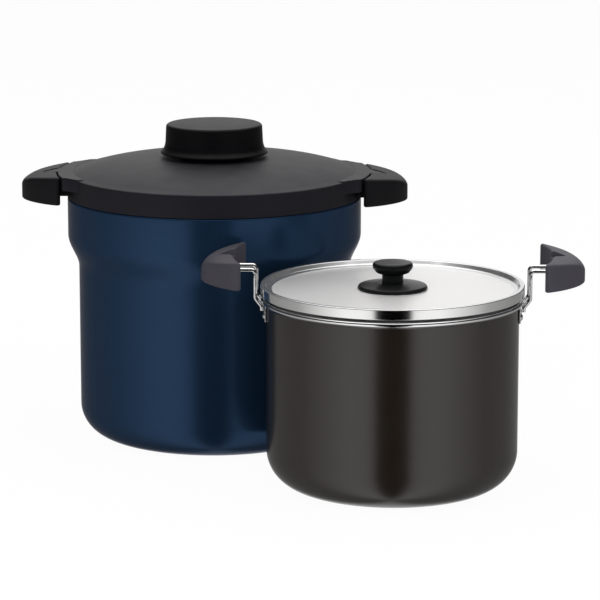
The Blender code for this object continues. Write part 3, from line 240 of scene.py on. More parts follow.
def sheet(corners: Sequence[Corner], thickness: float) -> Path:
    """Profile of a sheet of even thickness.

    Args:
        corners: the sheet's outer side, from the rim down and inwards.
        thickness: the sheet's thickness, laid on the right-hand side.

    Returns:
        A closed profile: the outer side, then the inner side back.
    """
    return rounded(corners) + rounded(beside(corners, thickness))[::-1]


# Meshes


def new_object(name: str, mesh: bmesh.types.BMesh, at: Vector | None = None) -> Piece:
    """Turns mesh data into an object of the scene with smooth shading and crisp edges.

    Args:
        name: name of the piece.
        mesh: its mesh data, which is freed.
        at: where its origin goes.

    Returns:
        The new object.
    """
    bmesh.ops.recalc_face_normals(mesh, faces=mesh.faces)
    data = bpy.data.meshes.new(name)
    mesh.to_mesh(data)
    mesh.free()
    piece = bpy.data.objects.new(name, data)
    bpy.context.scene.collection.objects.link(piece)
    piece.location = at or Vector((0.0, 0.0, 0.0))
    crisp(piece)
    return piece


def crisp(piece: Piece) -> None:
    """Shades a piece smooth, with its real edges kept sharp."""
    piece.data.shade_smooth()
    piece.data.set_sharp_from_angle(angle=SMOOTH_ANGLE)


def turned(name: str, path: Path, at: Vector, steps: int = FINE_TURN, closed: bool = False,
           zone: Callable[[float, float], int] | None = None) -> Piece:
    """Turns a profile round the upright axis.

    Args:
        name: name of the piece.
        path: distance from the axis and height of each profile point.
        at: foot of the axis.
        steps: facets in a full turn.
        closed: whether the profile's last point joins its first.
        zone: gives the material index of a stretch from the middle of it.

    Returns:
        The turned piece.
    """
    mesh = bmesh.new()
    rings = []
    for radius, height in path:
        if radius < AXIS_EPSILON:
            rings.append([mesh.verts.new((0.0, 0.0, height))] * steps)
            continue
        turn = [2 * math.pi * step / steps for step in range(steps)]
        rings.append([mesh.verts.new((radius * math.cos(a), radius * math.sin(a), height)) for a in turn])
    pairs = list(zip(range(len(path)), range(1, len(path))))
    if closed:
        pairs.append((len(path) - 1, 0))
    for first, second in pairs:
        index = 0
        if zone is not None:
            index = zone((path[first][0] + path[second][0]) / 2, (path[first][1] + path[second][1]) / 2)
        for step in range(steps):
            ahead = (step + 1) % steps
            ring = [rings[first][step], rings[first][ahead], rings[second][ahead], rings[second][step]]
            corners = list(dict.fromkeys(ring))
            if len(corners) > 2:
                mesh.faces.new(corners).material_index = index
    return new_object(name, mesh, at)


def inset(outline: Path, amount: float) -> Path:
    """Moves a closed outline inwards by its own normals.

    Args:
        outline: points in anticlockwise order.
        amount: distance to move in.

    Returns:
        The smaller outline, point for point.
    """
    moved: Path = []
    count = len(outline)
    for index in range(count):
        here = Vector(outline[index])
        back = (here - Vector(outline[index - 1])).normalized()
        ahead = (Vector(outline[(index + 1) % count]) - here).normalized()
        along = (back + ahead).normalized()
        stretch = 1.0 / max(along.dot(back), INSET_LIMIT)
        moved.append((here.x - along.y * amount * stretch, here.y + along.x * amount * stretch))
    return moved


def area_of(outline: Path) -> float:
    """Signed area of a closed outline, positive when it runs anticlockwise."""
    pairs = zip(outline, outline[1:] + outline[:1])
    return sum(a[0] * b[1] - b[0] * a[1] for a, b in pairs) / 2


@dataclass(frozen=True)
class Pad:
    """A moulded body over a plan outline, with round lower and upper edges and a shaped top.

    Args:
        outline: the plan.
        bottom: height of its flat under side.
        top: height of its top at a place in the plan.
        lower_round: rounding of the lower edge.
        upper_round: rounding of the upper edge.
        middle: a place that sees the whole outline, where the flat faces' rows end.
    """

    outline: Path
    bottom: float
    top: Callable[[float, float], float]
    lower_round: float
    upper_round: float
    middle: Point

    def loops(self, rounds: int = 6, fills: int = 8) -> tuple[list[list[Vector]], Vector, Vector]:
        """Rows of points from the under side's middle, up the side and to the top's middle.

        Args:
            rounds: stretches in each rounded edge.
            fills: rows between an edge and the middle.

        Returns:
            The rows, the under side's middle point and the top's middle point.
        """
        plan = self.outline if area_of(self.outline) > 0 else self.outline[::-1]
        rows: list[list[Vector]] = []
        low = inset(plan, self.lower_round)
        middle = Vector(self.middle)
        for step in range(1, fills):
            share = step / fills
            rows.append([Vector((*middle.lerp(Vector(p), share), self.bottom)) for p in low])
        for step in range(rounds + 1):
            turn = math.pi / 2 * step / rounds
            ring = inset(plan, self.lower_round * (1 - math.sin(turn)))
            height = self.bottom + self.lower_round * (1 - math.cos(turn))
            rows.append([Vector((*p, height)) for p in ring])
        for step in range(rounds + 1):
            turn = math.pi / 2 * step / rounds
            ring = inset(plan, self.upper_round * (1 - math.cos(turn)))
            sink = self.upper_round * (1 - math.sin(turn))
            rows.append([Vector((*p, self.top(*p) - sink)) for p in ring])
        high = inset(plan, self.upper_round)
        for step in range(fills - 1, 0, -1):
            ring = [middle.lerp(Vector(p), step / fills) for p in high]
            rows.append([Vector((*p, self.top(*p))) for p in ring])
        foot = Vector((*middle, self.bottom))
        head = Vector((*middle, self.top(*middle)))
        return rows, foot, head

    def build(self, name: str, at: Vector,
              bend: Callable[[Vector], Vector] | None = None) -> Piece:
        """Makes the body's mesh.

        Args:
            name: name of the piece.
            at: where its origin goes.
            bend: moves each point to its final place.

        Returns:
            The new piece.
        """
        place = bend or (lambda spot: spot)
        rows, foot, head = self.loops()
        mesh = bmesh.new()
        grid = [[mesh.verts.new(place(spot)) for spot in row] for row in rows]
        ends = (mesh.verts.new(place(foot)), mesh.verts.new(place(head)))
        count = len(grid[0])
        for step in range(count):
            ahead = (step + 1) % count
            for below, above in zip(grid, grid[1:]):
                mesh.faces.new((below[step], below[ahead], above[ahead], above[step]))
            mesh.faces.new((ends[0], grid[0][ahead], grid[0][step]))
            mesh.faces.new((ends[1], grid[-1][step], grid[-1][ahead]))
        return new_object(name, mesh, at)


def settle(piece: Piece) -> Piece:
    """Applies a piece's modifiers, so that its final mesh can be shaded as one.

    Args:
        piece: what is worked on.

    Returns:
        The same piece.
    """
    graph = bpy.context.evaluated_depsgraph_get()
    data = bpy.data.meshes.new_from_object(piece.evaluated_get(graph))
    piece.modifiers.clear()
    piece.data = data
    data.name = piece.name
    crisp(piece)
    return piece


def combine(piece: Piece, tools: Iterable[Piece], operation: str) -> Piece:
    """Joins tools to a piece or cuts them from it, and removes the tools.

    Args:
        piece: what is worked on.
        tools: the bodies that are joined or cut away.
        operation: UNION or DIFFERENCE.

    Returns:
        The worked piece.
    """
    tools = list(tools)
    for tool in tools:
        boolean = piece.modifiers.new(tool.name, "BOOLEAN")
        boolean.object = tool
        boolean.operation = operation
        boolean.solver = "EXACT"
    settle(piece)
    for tool in tools:
        bpy.data.objects.remove(tool, do_unlink=True)
    return piece


def soften(piece: Piece, width: float, segments: int = 3) -> Piece:
    """Rounds the sharp edges that are left on a piece.

    Args:
        piece: what is worked on.
        width: how far the rounding reaches from the edge.
        segments: stretches across it.

    Returns:
        The same piece.
    """
    bevel = piece.modifiers.new("soft_edges", "BEVEL")
    bevel.width = width
    bevel.segments = segments
    bevel.limit_method = "ANGLE"
    bevel.angle_limit = SOFTEN_ANGLE
    bevel.use_clamp_overlap = True
    return settle(piece)


def slab(name: str, outline: Path, bottom: float, top: float, at: Vector) -> Piece:
    """A plain block over a plan outline, used as a cutting tool.

    Args:
        name: name of the block.
        outline: its plan.
        bottom: its lower face.
        top: its upper face.
        at: where its origin goes.

    Returns:
        The block.
    """
    mesh = bmesh.new()
    low = [mesh.verts.new((*spot, bottom)) for spot in outline]
    high = [mesh.verts.new((*spot, top)) for spot in outline]
    mesh.faces.new(low)
    mesh.faces.new(high)
    for index in range(len(outline)):
        ahead = (index + 1) % len(outline)
        mesh.faces.new((low[index], low[ahead], high[ahead], high[index]))
    return new_object(name, mesh, at)


def mirrored(path: Path, side: Side) -> Path:
    """Turns a plan that was drawn on the right round to its own side."""
    return [(side.value * x, side.value * y) for x, y in path]


def chord_x(radius: float, half_width: float) -> float:
    """Distance from the axis at which a circle about it has narrowed to a half width."""
    return math.sqrt(radius**2 - half_width**2)


def bent_rod(name: str, corners: Sequence[Vector], radius: float, bend: float, at: Vector,
             steps: int = 8, facets: int = 6) -> Piece:
    """A round rod that follows corner points with round bends and has flat ends.

    Args:
        name: name of the piece.
        corners: the corner points in order.
        radius: the rod's radius.
        bend: radius of its bends, at its middle.
        at: where its origin goes.
        steps: stretches in each bend.
        facets: how finely it is rounded.

    Returns:
        The rod.
    """
    points = [corners[0]]
    for before, corner, after in zip(corners, corners[1:], corners[2:]):
        back, ahead = (before - corner).normalized(), (after - corner).normalized()
        half = back.angle(ahead) / 2
        centre = corner + (back + ahead).normalized() * (bend / math.sin(half))
        first = (corner + back * (bend / math.tan(half)) - centre).normalized()
        last = (corner + ahead * (bend / math.tan(half)) - centre).normalized()
        points += [centre + first.slerp(last, step / steps) * bend for step in range(steps + 1)]
    points.append(corners[-1])
    curve = bpy.data.curves.new(name, "CURVE")
    curve.dimensions = "3D"
    curve.bevel_depth = radius
    curve.bevel_resolution = facets
    curve.use_fill_caps = True
    spline = curve.splines.new("POLY")
    spline.points.add(len(points) - 1)
    for spot, point in zip(spline.points, points):
        spot.co = (*point, 1.0)
    guide = bpy.data.objects.new(name + "_guide", curve)
    bpy.context.scene.collection.objects.link(guide)
    graph = bpy.context.evaluated_depsgraph_get()
    data = bpy.data.meshes.new_from_object(guide.evaluated_get(graph))
    mesh = bmesh.new()
    mesh.from_mesh(data)
    bmesh.ops.remove_doubles(mesh, verts=mesh.verts, dist=radius / WELD_SHARE)
    bpy.data.objects.remove(guide, do_unlink=True)
    return new_object(name, mesh, at)


# Shader effects


class Tree:
    """A node tree, with short calls that add nodes and join them."""

    def __init__(self, tree: bpy.types.NodeTree) -> None:
        """Keeps the tree that is worked on."""
        self.tree = tree

    def add(self, kind: str, settings: dict | None = None, **inputs: object) -> Node:
        """Adds a node.

        Args:
            kind: the node's type, without the ShaderNode in front.
            settings: its own properties.
            **inputs: values or sockets for its inputs, by name with _ for a space.

        Returns:
            The node.
        """
        node = self.tree.nodes.new("ShaderNode" + kind)
        for key, value in (settings or {}).items():
            setattr(node, key, value)
        for key, value in inputs.items():
            self.feed(self.socket(node, key), value)
        return node

    @staticmethod
    def socket(node: Node, key: str) -> Socket:
        """Finds an input of a node.

        Args:
            node: the node.
            key: the input's name with _ for a space, or its number written as i0, i1 and so on.

        Returns:
            The input, which is an enabled one where the name stands for several.
        """
        if key[0] == "i" and key[1:].isdigit():
            return node.inputs[int(key[1:])]
        wanted = key.replace("_", " ")
        found = [one for one in node.inputs if one.name == wanted and one.enabled]
        return found[0]

    def feed(self, socket: Socket, value: object) -> None:
        """Links a socket to an input, or sets the input's own value.

        Args:
            socket: the input.
            value: a socket or a plain value.
        """
        if isinstance(value, Socket):
            self.tree.links.new(value, socket)
        else:
            socket.default_value = value

    def maths(self, operation: str, first: object, second: object = 0.0,
              clamp: bool = False) -> Socket:
        """One step of arithmetic, and its result."""
        settings = {"operation": operation, "use_clamp": clamp}
        return self.add("Math", settings, i0=first, i1=second).outputs[0]

    def spread(self, value: object, low: float, high: float,
               to_low: float = 0.0, to_high: float = 1.0) -> Socket:
        """Maps a value from one range to another, and holds it inside."""
        ranges = {"From_Min": low, "From_Max": high, "To_Min": to_low, "To_Max": to_high}
        return self.add("MapRange", None, Value=value, **ranges).outputs["Result"]

    def ramp(self, value: object, stops: Sequence[tuple[float, float]]) -> Socket:
        """A grey level along a value, straight between its stops.

        Args:
            value: what it follows, from 0 to 1.
            stops: pairs of a value and the level there, in rising order.

        Returns:
            The level.
        """
        node = self.add("ValToRGB", None, Fac=value)
        marks = node.color_ramp.elements
        while len(marks) < len(stops):
            marks.new(0.5)
        for mark, (place, level) in zip(marks, stops):
            mark.position = place
            mark.color = (level, level, level, 1.0)
        return node.outputs["Color"]

    def noise(self, vector: object, scale: object, detail: float = 3.0,
              roughness: float = 0.5) -> Socket:
        """Smooth noise between 0 and 1."""
        node = self.add("TexNoise", None, Vector=vector, Scale=scale, Detail=detail, Roughness=roughness)
        return node.outputs[0]

    def blend(self, factor: object, first: object, second: object, mode: str = "MIX") -> Socket:
        """Mixes two colours.

        Args:
            factor: share of the second colour.
            first: the first colour.
            second: the second colour.
            mode: how the two are mixed.

        Returns:
            The mixed colour.
        """
        node = self.add("Mix", {"data_type": "RGBA", "blend_type": mode})
        self.feed(node.inputs[0], factor)
        self.feed(node.inputs[MIX_FIRST], first)
        self.feed(node.inputs[MIX_SECOND], second)
        return node.outputs[MIX_RESULT]


class Effect:
    """A shader effect that several finishes share: a node group that is built once.

    An effect takes a vector, and numbers of a label and a first value. All that it gives are numbers.
    """

    name = "effect"
    takes: dict[str, float] = {}
    gives: tuple[str, ...] = ()
    built: dict[str, bpy.types.NodeTree] = {}

    @classmethod
    def group(cls) -> bpy.types.NodeTree:
        """Gives the node group, made on first use.

        Returns:
            The group.
        """
        if cls.name not in Effect.built:
            group = bpy.data.node_groups.new(cls.name, "ShaderNodeTree")
            group.interface.new_socket(name="Vector", in_out="INPUT", socket_type="NodeSocketVector")
            for label, value in cls.takes.items():
                made = group.interface.new_socket(name=label, in_out="INPUT", socket_type="NodeSocketFloat")
                made.default_value = value
            for label in cls.gives:
                group.interface.new_socket(name=label, in_out="OUTPUT", socket_type="NodeSocketFloat")
            tree = Tree(group)
            source = group.nodes.new("NodeGroupInput")
            sink = group.nodes.new("NodeGroupOutput")
            for label, value in cls.wire(tree, source).items():
                tree.feed(sink.inputs[label], value)
            Effect.built[cls.name] = group
        return Effect.built[cls.name]

    @classmethod
    def wire(cls, tree: Tree, source: Node) -> dict[str, Socket]:
        """Wires the effect.

        Args:
            tree: the group's tree.
            source: the group's input node.

        Returns:
            The socket for each output, by name.
        """
        raise NotImplementedError

    @classmethod
    def place(cls, tree: Tree, **values: object) -> Node:
        """Places the effect in a material's tree.

        Args:
            tree: the material's tree.
            **values: values or sockets for the effect's inputs, by name with _ for a space.

        Returns:
            The group's node.
        """
        node = tree.tree.nodes.new("ShaderNodeGroup")
        node.node_tree = cls.group()
        for key, value in values.items():
            tree.feed(node.inputs[key.replace("_", " ")], value)
        return node


class MouldedGrain(Effect):
    """The fine spark-eroded texture of a matte moulding."""

    name = "moulded_grain"
    takes = {"Scale": 1500.0, "Depth": 0.5}
    gives = ("Height", "Mask")
    pit_share = 0.6
    cloud_share = 0.4
    cloud_fineness = 1.7
    mask_range = (0.25, 0.6)

    @classmethod
    def wire(cls, tree: Tree, source: Node) -> dict[str, Socket]:
        """Mixes pits and noise into one height.

        Args:
            tree: the group's tree.
            source: the group's input node.

        Returns:
            The socket for each output, by name.
        """
        vector, scale = source.outputs["Vector"], source.outputs["Scale"]
        pits = tree.add("TexVoronoi", {"feature": "SMOOTH_F1"}, Vector=vector, Scale=scale)
        cloud = tree.noise(vector, tree.maths("MULTIPLY", scale, cls.cloud_fineness), detail=2.0)
        pitted = tree.maths("MULTIPLY", pits.outputs["Distance"], cls.pit_share)
        mixed = tree.maths("ADD", pitted, tree.maths("MULTIPLY", cloud, cls.cloud_share))
        height = tree.maths("MULTIPLY", mixed, source.outputs["Depth"])
        return {"Height": height, "Mask": tree.spread(mixed, *cls.mask_range)}


class HandledSmudge(Effect):
    """Slow change of sheen over a surface, as handling and wiping leave it."""

    name = "handled_smudge"
    takes = {"Scale": 18.0, "Contrast": 0.5}
    gives = ("Mask", "Signed")
    broad_share = 0.7
    fine_share = 0.3
    fineness = 5.3

    @classmethod
    def wire(cls, tree: Tree, source: Node) -> dict[str, Socket]:
        """Two scales of noise, pushed apart by the contrast.

        Args:
            tree: the group's tree.
            source: the group's input node.

        Returns:
            The socket for each output, by name.
        """
        vector, scale = source.outputs["Vector"], source.outputs["Scale"]
        broad = tree.maths("MULTIPLY", tree.noise(vector, scale, detail=2.0), cls.broad_share)
        fine = tree.noise(vector, tree.maths("MULTIPLY", scale, cls.fineness), detail=4.0)
        mixed = tree.maths("ADD", broad, tree.maths("MULTIPLY", fine, cls.fine_share))
        about_mean = tree.maths("SUBTRACT", mixed, NOISE_MEAN)
        signed = tree.maths("MULTIPLY", about_mean, source.outputs["Contrast"])
        return {"Mask": tree.maths("ADD", signed, NOISE_MEAN, clamp=True), "Signed": signed}


class TurnedLines(Effect):
    """Fine rings that polishing on a lathe leaves round the axis of a piece."""

    name = "turned_lines"
    takes = {"Density": 900.0, "Drift": 3.0}
    gives = ("Height", "Mask")
    mask_range = (0.3, 0.7)

    @classmethod
    def wire(cls, tree: Tree, source: Node) -> dict[str, Socket]:
        """Stretches noise along the turning direction.

        Args:
            tree: the group's tree.
            source: the group's input node.

        Returns:
            The socket for each output, by name.
        """
        parts = tree.add("SeparateXYZ", None, Vector=source.outputs["Vector"])
        x, y, z = parts.outputs[0], parts.outputs[1], parts.outputs[2]
        square = tree.maths("ADD", tree.maths("MULTIPLY", x, x), tree.maths("MULTIPLY", y, y))
        radius = tree.maths("SQRT", square)
        turn = tree.maths("MULTIPLY", tree.maths("ARCTAN2", y, x), source.outputs["Drift"])
        across = tree.maths("MULTIPLY", radius, source.outputs["Density"])
        upright = tree.maths("MULTIPLY", z, source.outputs["Density"])
        spot = tree.add("CombineXYZ", None, X=across, Y=upright, Z=turn).outputs[0]
        lines = tree.noise(spot, 1.0, detail=3.0, roughness=0.65)
        return {"Height": lines, "Mask": tree.spread(lines, *cls.mask_range)}


class MetalFlake(Effect):
    """Fine flakes in a metallic paint, each a little lighter or darker than the next."""

    name = "metal_flake"
    takes = {"Scale": 4000.0, "Strength": 0.3}
    gives = ("Glint",)

    @classmethod
    def wire(cls, tree: Tree, source: Node) -> dict[str, Socket]:
        """Gives each cell its own brightness round 1.

        Args:
            tree: the group's tree.
            source: the group's input node.

        Returns:
            The socket for each output, by name.
        """
        vector, scale = source.outputs["Vector"], source.outputs["Scale"]
        cells = tree.add("TexVoronoi", None, Vector=vector, Scale=scale).outputs["Color"]
        tone = tree.add("SeparateColor", None, Color=cells).outputs[0]
        about_mean = tree.maths("SUBTRACT", tone, NOISE_MEAN)
        signed = tree.maths("MULTIPLY", about_mean, source.outputs["Strength"])
        return {"Glint": tree.maths("ADD", signed, 1.0)}


class SettledDust(Effect):
    """A trace of dust on faces that look up."""

    name = "settled_dust"
    takes = {"Scale": 60.0, "Amount": 0.1}
    gives = ("Mask",)
    upward_range = (0.3, 1.0)
    patch_range = (0.35, 0.75)
    thinnest = 0.2

    @classmethod
    def wire(cls, tree: Tree, source: Node) -> dict[str, Socket]:
        """Fades noise out on faces that don't look up.

        Args:
            tree: the group's tree.
            source: the group's input node.

        Returns:
            The socket for each output, by name.
        """
        normal = tree.add("NewGeometry").outputs["Normal"]
        upward = tree.add("SeparateXYZ", None, Vector=normal).outputs[2]
        facing = tree.spread(upward, *cls.upward_range)
        cloud = tree.noise(source.outputs["Vector"], source.outputs["Scale"], detail=5.0)
        patches = tree.spread(cloud, *cls.patch_range, cls.thinnest, 1.0)
        mask = tree.maths("MULTIPLY", tree.maths("MULTIPLY", facing, patches), source.outputs["Amount"])
        return {"Mask": mask}


# Finishes. A scale is a count along a metre, a depth is in metres, and a range holds the noise levels
# between which something changes.

Colour = tuple[float, float, float]


class Surface(Tree):
    """A material's tree, with short calls for what finishes vary over a piece."""

    def __init__(self, material: bpy.types.Material) -> None:
        """Finds the material's shader, and the place on the piece from its own origin.

        Args:
            material: the material, with nodes.
        """
        super().__init__(material.node_tree)
        self.shader = self.tree.nodes["Principled BSDF"]
        self.spot = self.add("TexCoord").outputs["Object"]

    def effect(self, kind: type[Effect], **values: object) -> Node:
        """Places an effect that follows the place on the piece."""
        return kind.place(self, Vector=self.spot, **values)

    def vary(self, name: str, value: Socket) -> None:
        """Lets an input of the shader vary over the surface."""
        self.feed(self.shader.inputs[name], value)

    def emboss(self, height: object, depth: float) -> None:
        """Turns a height into surface relief of a depth in metres."""
        self.vary("Normal", self.add("Bump", None, Height=height, Distance=depth, Strength=1.0).outputs[0])

    def handled(self, mean: float, scale: float, contrast: float) -> None:
        """Lets the roughness vary about its mean, as handling and wiping leave it."""
        smudge = self.effect(HandledSmudge, Scale=scale, Contrast=contrast)
        self.vary("Roughness", self.maths("ADD", smudge.outputs["Signed"], mean))


@dataclass(frozen=True)
class Finish:
    """A surface finish: one material, made once.

    Args:
        label: the material's name.
        slot: the record's material slot; not used.
        colour: its base colour.
        roughness: its mean roughness.
        metallic: how metallic it is.
        specular: strength of its clear reflection.
        edge: tint of its reflection at a grazing view.
    """

    label: str
    slot: str
    colour: Colour
    roughness: float
    metallic: float = 0.0
    specular: float = 0.5
    edge: Colour = (1.0, 1.0, 1.0)

    def material(self) -> bpy.types.Material:
        """Gives the finish's material, built the first time.

        Returns:
            The material.
        """
        found = bpy.data.materials.get(self.label)
        if found is not None:
            return found
        material = bpy.data.materials.new(self.label)
        material.use_nodes = True
        material.diffuse_color = (*self.colour, 1.0)
        surface = Surface(material)
        shader = surface.shader
        shader.inputs["Base Color"].default_value = (*self.colour, 1.0)
        shader.inputs["Roughness"].default_value = self.roughness
        shader.inputs["Metallic"].default_value = self.metallic
        shader.inputs["Specular IOR Level"].default_value = self.specular
        shader.inputs["Specular Tint"].default_value = (*self.edge, 1.0)
        self.detail(surface)
        return material

    def detail(self, surface: Surface) -> None:
        """Adds what changes over the surface."""
        raise NotImplementedError

    def tint(self, surface: Surface, factor: object, other: Colour) -> None:
        """Mixes a second colour into the base colour."""
        surface.vary("Base Color", surface.blend(factor, (*self.colour, 1.0), (*other, 1.0)))


@dataclass(frozen=True)
class MetallicPaint(Finish):
    """Satin metallic paint over steel: coloured flakes and a faint orange peel."""

    flake_scale: float = 5200.0
    flake_strength: float = 0.5
    peel_scale: float = 420.0
    peel_depth: float = 0.000012
    smudge_scale: float = 14.0
    smudge_contrast: float = 0.10

    def detail(self, surface: Surface) -> None:
        """Flakes tint the colour, smudges change the sheen and the peel is relief.

        Args:
            surface: the finish's own tree.
        """
        glint = surface.effect(MetalFlake, Scale=self.flake_scale, Strength=self.flake_strength)
        level = glint.outputs[0]
        tone = surface.add("CombineColor", None, Red=level, Green=level, Blue=level)
        base = surface.blend(1.0, (*self.colour, 1.0), tone.outputs[0], "MULTIPLY")
        surface.vary("Base Color", base)
        surface.handled(self.roughness, self.smudge_scale, self.smudge_contrast)
        peel = surface.noise(surface.spot, self.peel_scale, detail=1.0)
        surface.emboss(peel, self.peel_depth)


@dataclass(frozen=True)
class MattResin(Finish):
    """Matte moulded resin: fine grain, slight handling marks and a trace of dust on top."""

    grain_scale: float = 1700.0
    grain_depth: float = 0.00003
    grain_light: float = 1.35
    smudge_scale: float = 22.0
    smudge_contrast: float = 0.10
    dust: float = 0.10
    dust_colour: Colour = (0.30, 0.29, 0.27)

    def detail(self, surface: Surface) -> None:
        """Grain in relief and colour, smudges in the sheen, dust on top.

        Args:
            surface: the finish's own tree.
        """
        grain = surface.effect(MouldedGrain, Scale=self.grain_scale, Depth=1.0)
        surface.emboss(grain.outputs["Height"], self.grain_depth)
        surface.handled(self.roughness, self.smudge_scale, self.smudge_contrast)
        dust = surface.effect(SettledDust, Amount=self.dust)
        pale = tuple(channel * self.grain_light for channel in self.colour)
        grained = surface.blend(grain.outputs["Mask"], (*self.colour, 1.0), (*pale, 1.0))
        surface.vary("Base Color", surface.blend(dust.outputs[0], grained, (*self.dust_colour, 1.0)))


@dataclass(frozen=True)
class TurnedSteel(Finish):
    """Steel that was polished on a lathe, from mirror bright to brushed."""

    line_density: float = 1500.0
    line_drift: float = 2.0
    line_depth: float = 0.000002
    line_sheen: float = 0.06
    smudge_scale: float = 16.0
    smudge_contrast: float = 0.06
    tarnish: Colour = (0.62, 0.60, 0.57)
    tarnish_share: float = 0.25
    tarnish_scale: float = 9.0
    tarnish_contrast: float = 1.6

    def detail(self, surface: Surface) -> None:
        """Rings in relief and sheen, and a slow warm tint.

        Args:
            surface: the finish's own tree.
        """
        lines = surface.effect(TurnedLines, Density=self.line_density, Drift=self.line_drift)
        surface.emboss(lines.outputs["Height"], self.line_depth)
        marks = surface.effect(HandledSmudge, Scale=self.smudge_scale, Contrast=self.smudge_contrast)
        sheen = surface.maths("MULTIPLY", lines.outputs["Mask"], self.line_sheen)
        marked = surface.maths("ADD", sheen, marks.outputs["Signed"])
        surface.vary("Roughness", surface.maths("ADD", marked, self.roughness, clamp=True))
        stain = surface.effect(HandledSmudge, Scale=self.tarnish_scale, Contrast=self.tarnish_contrast)
        share = surface.maths("MULTIPLY", stain.outputs["Mask"], self.tarnish_share)
        self.tint(surface, share, self.tarnish)


@dataclass(frozen=True)
class PotCoating(Finish):
    """The glossy dark coating of the pot: smooth, with faint specks and wiping marks."""

    speck_scale: float = 900.0
    speck_range: Point = (0.55, 0.8)
    speck_share: float = 0.5
    speck_colour: Colour = (0.05, 0.04, 0.03)
    smudge_scale: float = 12.0
    smudge_contrast: float = 0.12
    peel_scale: float = 500.0
    peel_depth: float = 0.000008

    def detail(self, surface: Surface) -> None:
        """Specks in the colour, marks in the sheen and a fine peel.

        Args:
            surface: the finish's own tree.
        """
        specks = surface.noise(surface.spot, self.speck_scale, detail=2.0, roughness=0.7)
        share = surface.spread(specks, *self.speck_range, 0.0, self.speck_share)
        self.tint(surface, share, self.speck_colour)
        surface.handled(self.roughness, self.smudge_scale, self.smudge_contrast)
        surface.emboss(surface.noise(surface.spot, self.peel_scale, detail=1.0), self.peel_depth)


@dataclass(frozen=True)
class PlatedSteel(Finish):
    """Small steel parts: zinc-plated screws and drawn wire, with a mottled sheen."""

    mottle_scale: float = 700.0
    mottle_dull: float = 0.75
    mottle_sheen: float = 0.1
    colour_range: Point = (0.35, 0.75)
    sheen_range: Point = (0.3, 0.7)

    def detail(self, surface: Surface) -> None:
        """Mottling in colour and sheen.

        Args:
            surface: the finish's own tree.
        """
        mottle = surface.noise(surface.spot, self.mottle_scale, detail=4.0, roughness=0.6)
        dull = tuple(channel * self.mottle_dull for channel in self.colour)
        self.tint(surface, surface.spread(mottle, *self.colour_range), dull)
        roughest = self.roughness + self.mottle_sheen
        rough = surface.spread(mottle, *self.sheen_range, self.roughness, roughest)
        surface.vary("Roughness", rough)


@dataclass(frozen=True)
class OpenFoam(Finish):
    """The lid's foam: open cells and an uneven tone."""

    cell_scale: float = 900.0
    cell_depth: float = 0.0004
    cell_range: Point = (0.1, 0.6)
    wall_dark: float = 0.6

    def detail(self, surface: Surface) -> None:
        """Cells in relief and colour.

        Args:
            surface: the finish's own tree.
        """
        cells = surface.add("TexVoronoi", None, Vector=surface.spot, Scale=self.cell_scale)
        depth = cells.outputs["Distance"]
        deep = tuple(channel * self.wall_dark for channel in self.colour)
        self.tint(surface, surface.spread(depth, *self.cell_range), deep)
        surface.emboss(depth, self.cell_depth)


@dataclass(frozen=True)
class PressedPowder(Finish):
    """The getter tablet: pressed dark powder with a dull sparkle."""

    grain_scale: float = 2600.0
    grain_depth: float = 0.00006
    grain_light: float = 1.8

    def detail(self, surface: Surface) -> None:
        """Grains in colour and relief.

        Args:
            surface: the finish's own tree.
        """
        grain = surface.effect(MouldedGrain, Scale=self.grain_scale, Depth=1.0)
        light = tuple(channel * self.grain_light for channel in self.colour)
        self.tint(surface, grain.outputs["Mask"], light)
        surface.emboss(grain.outputs["Height"], self.grain_depth)


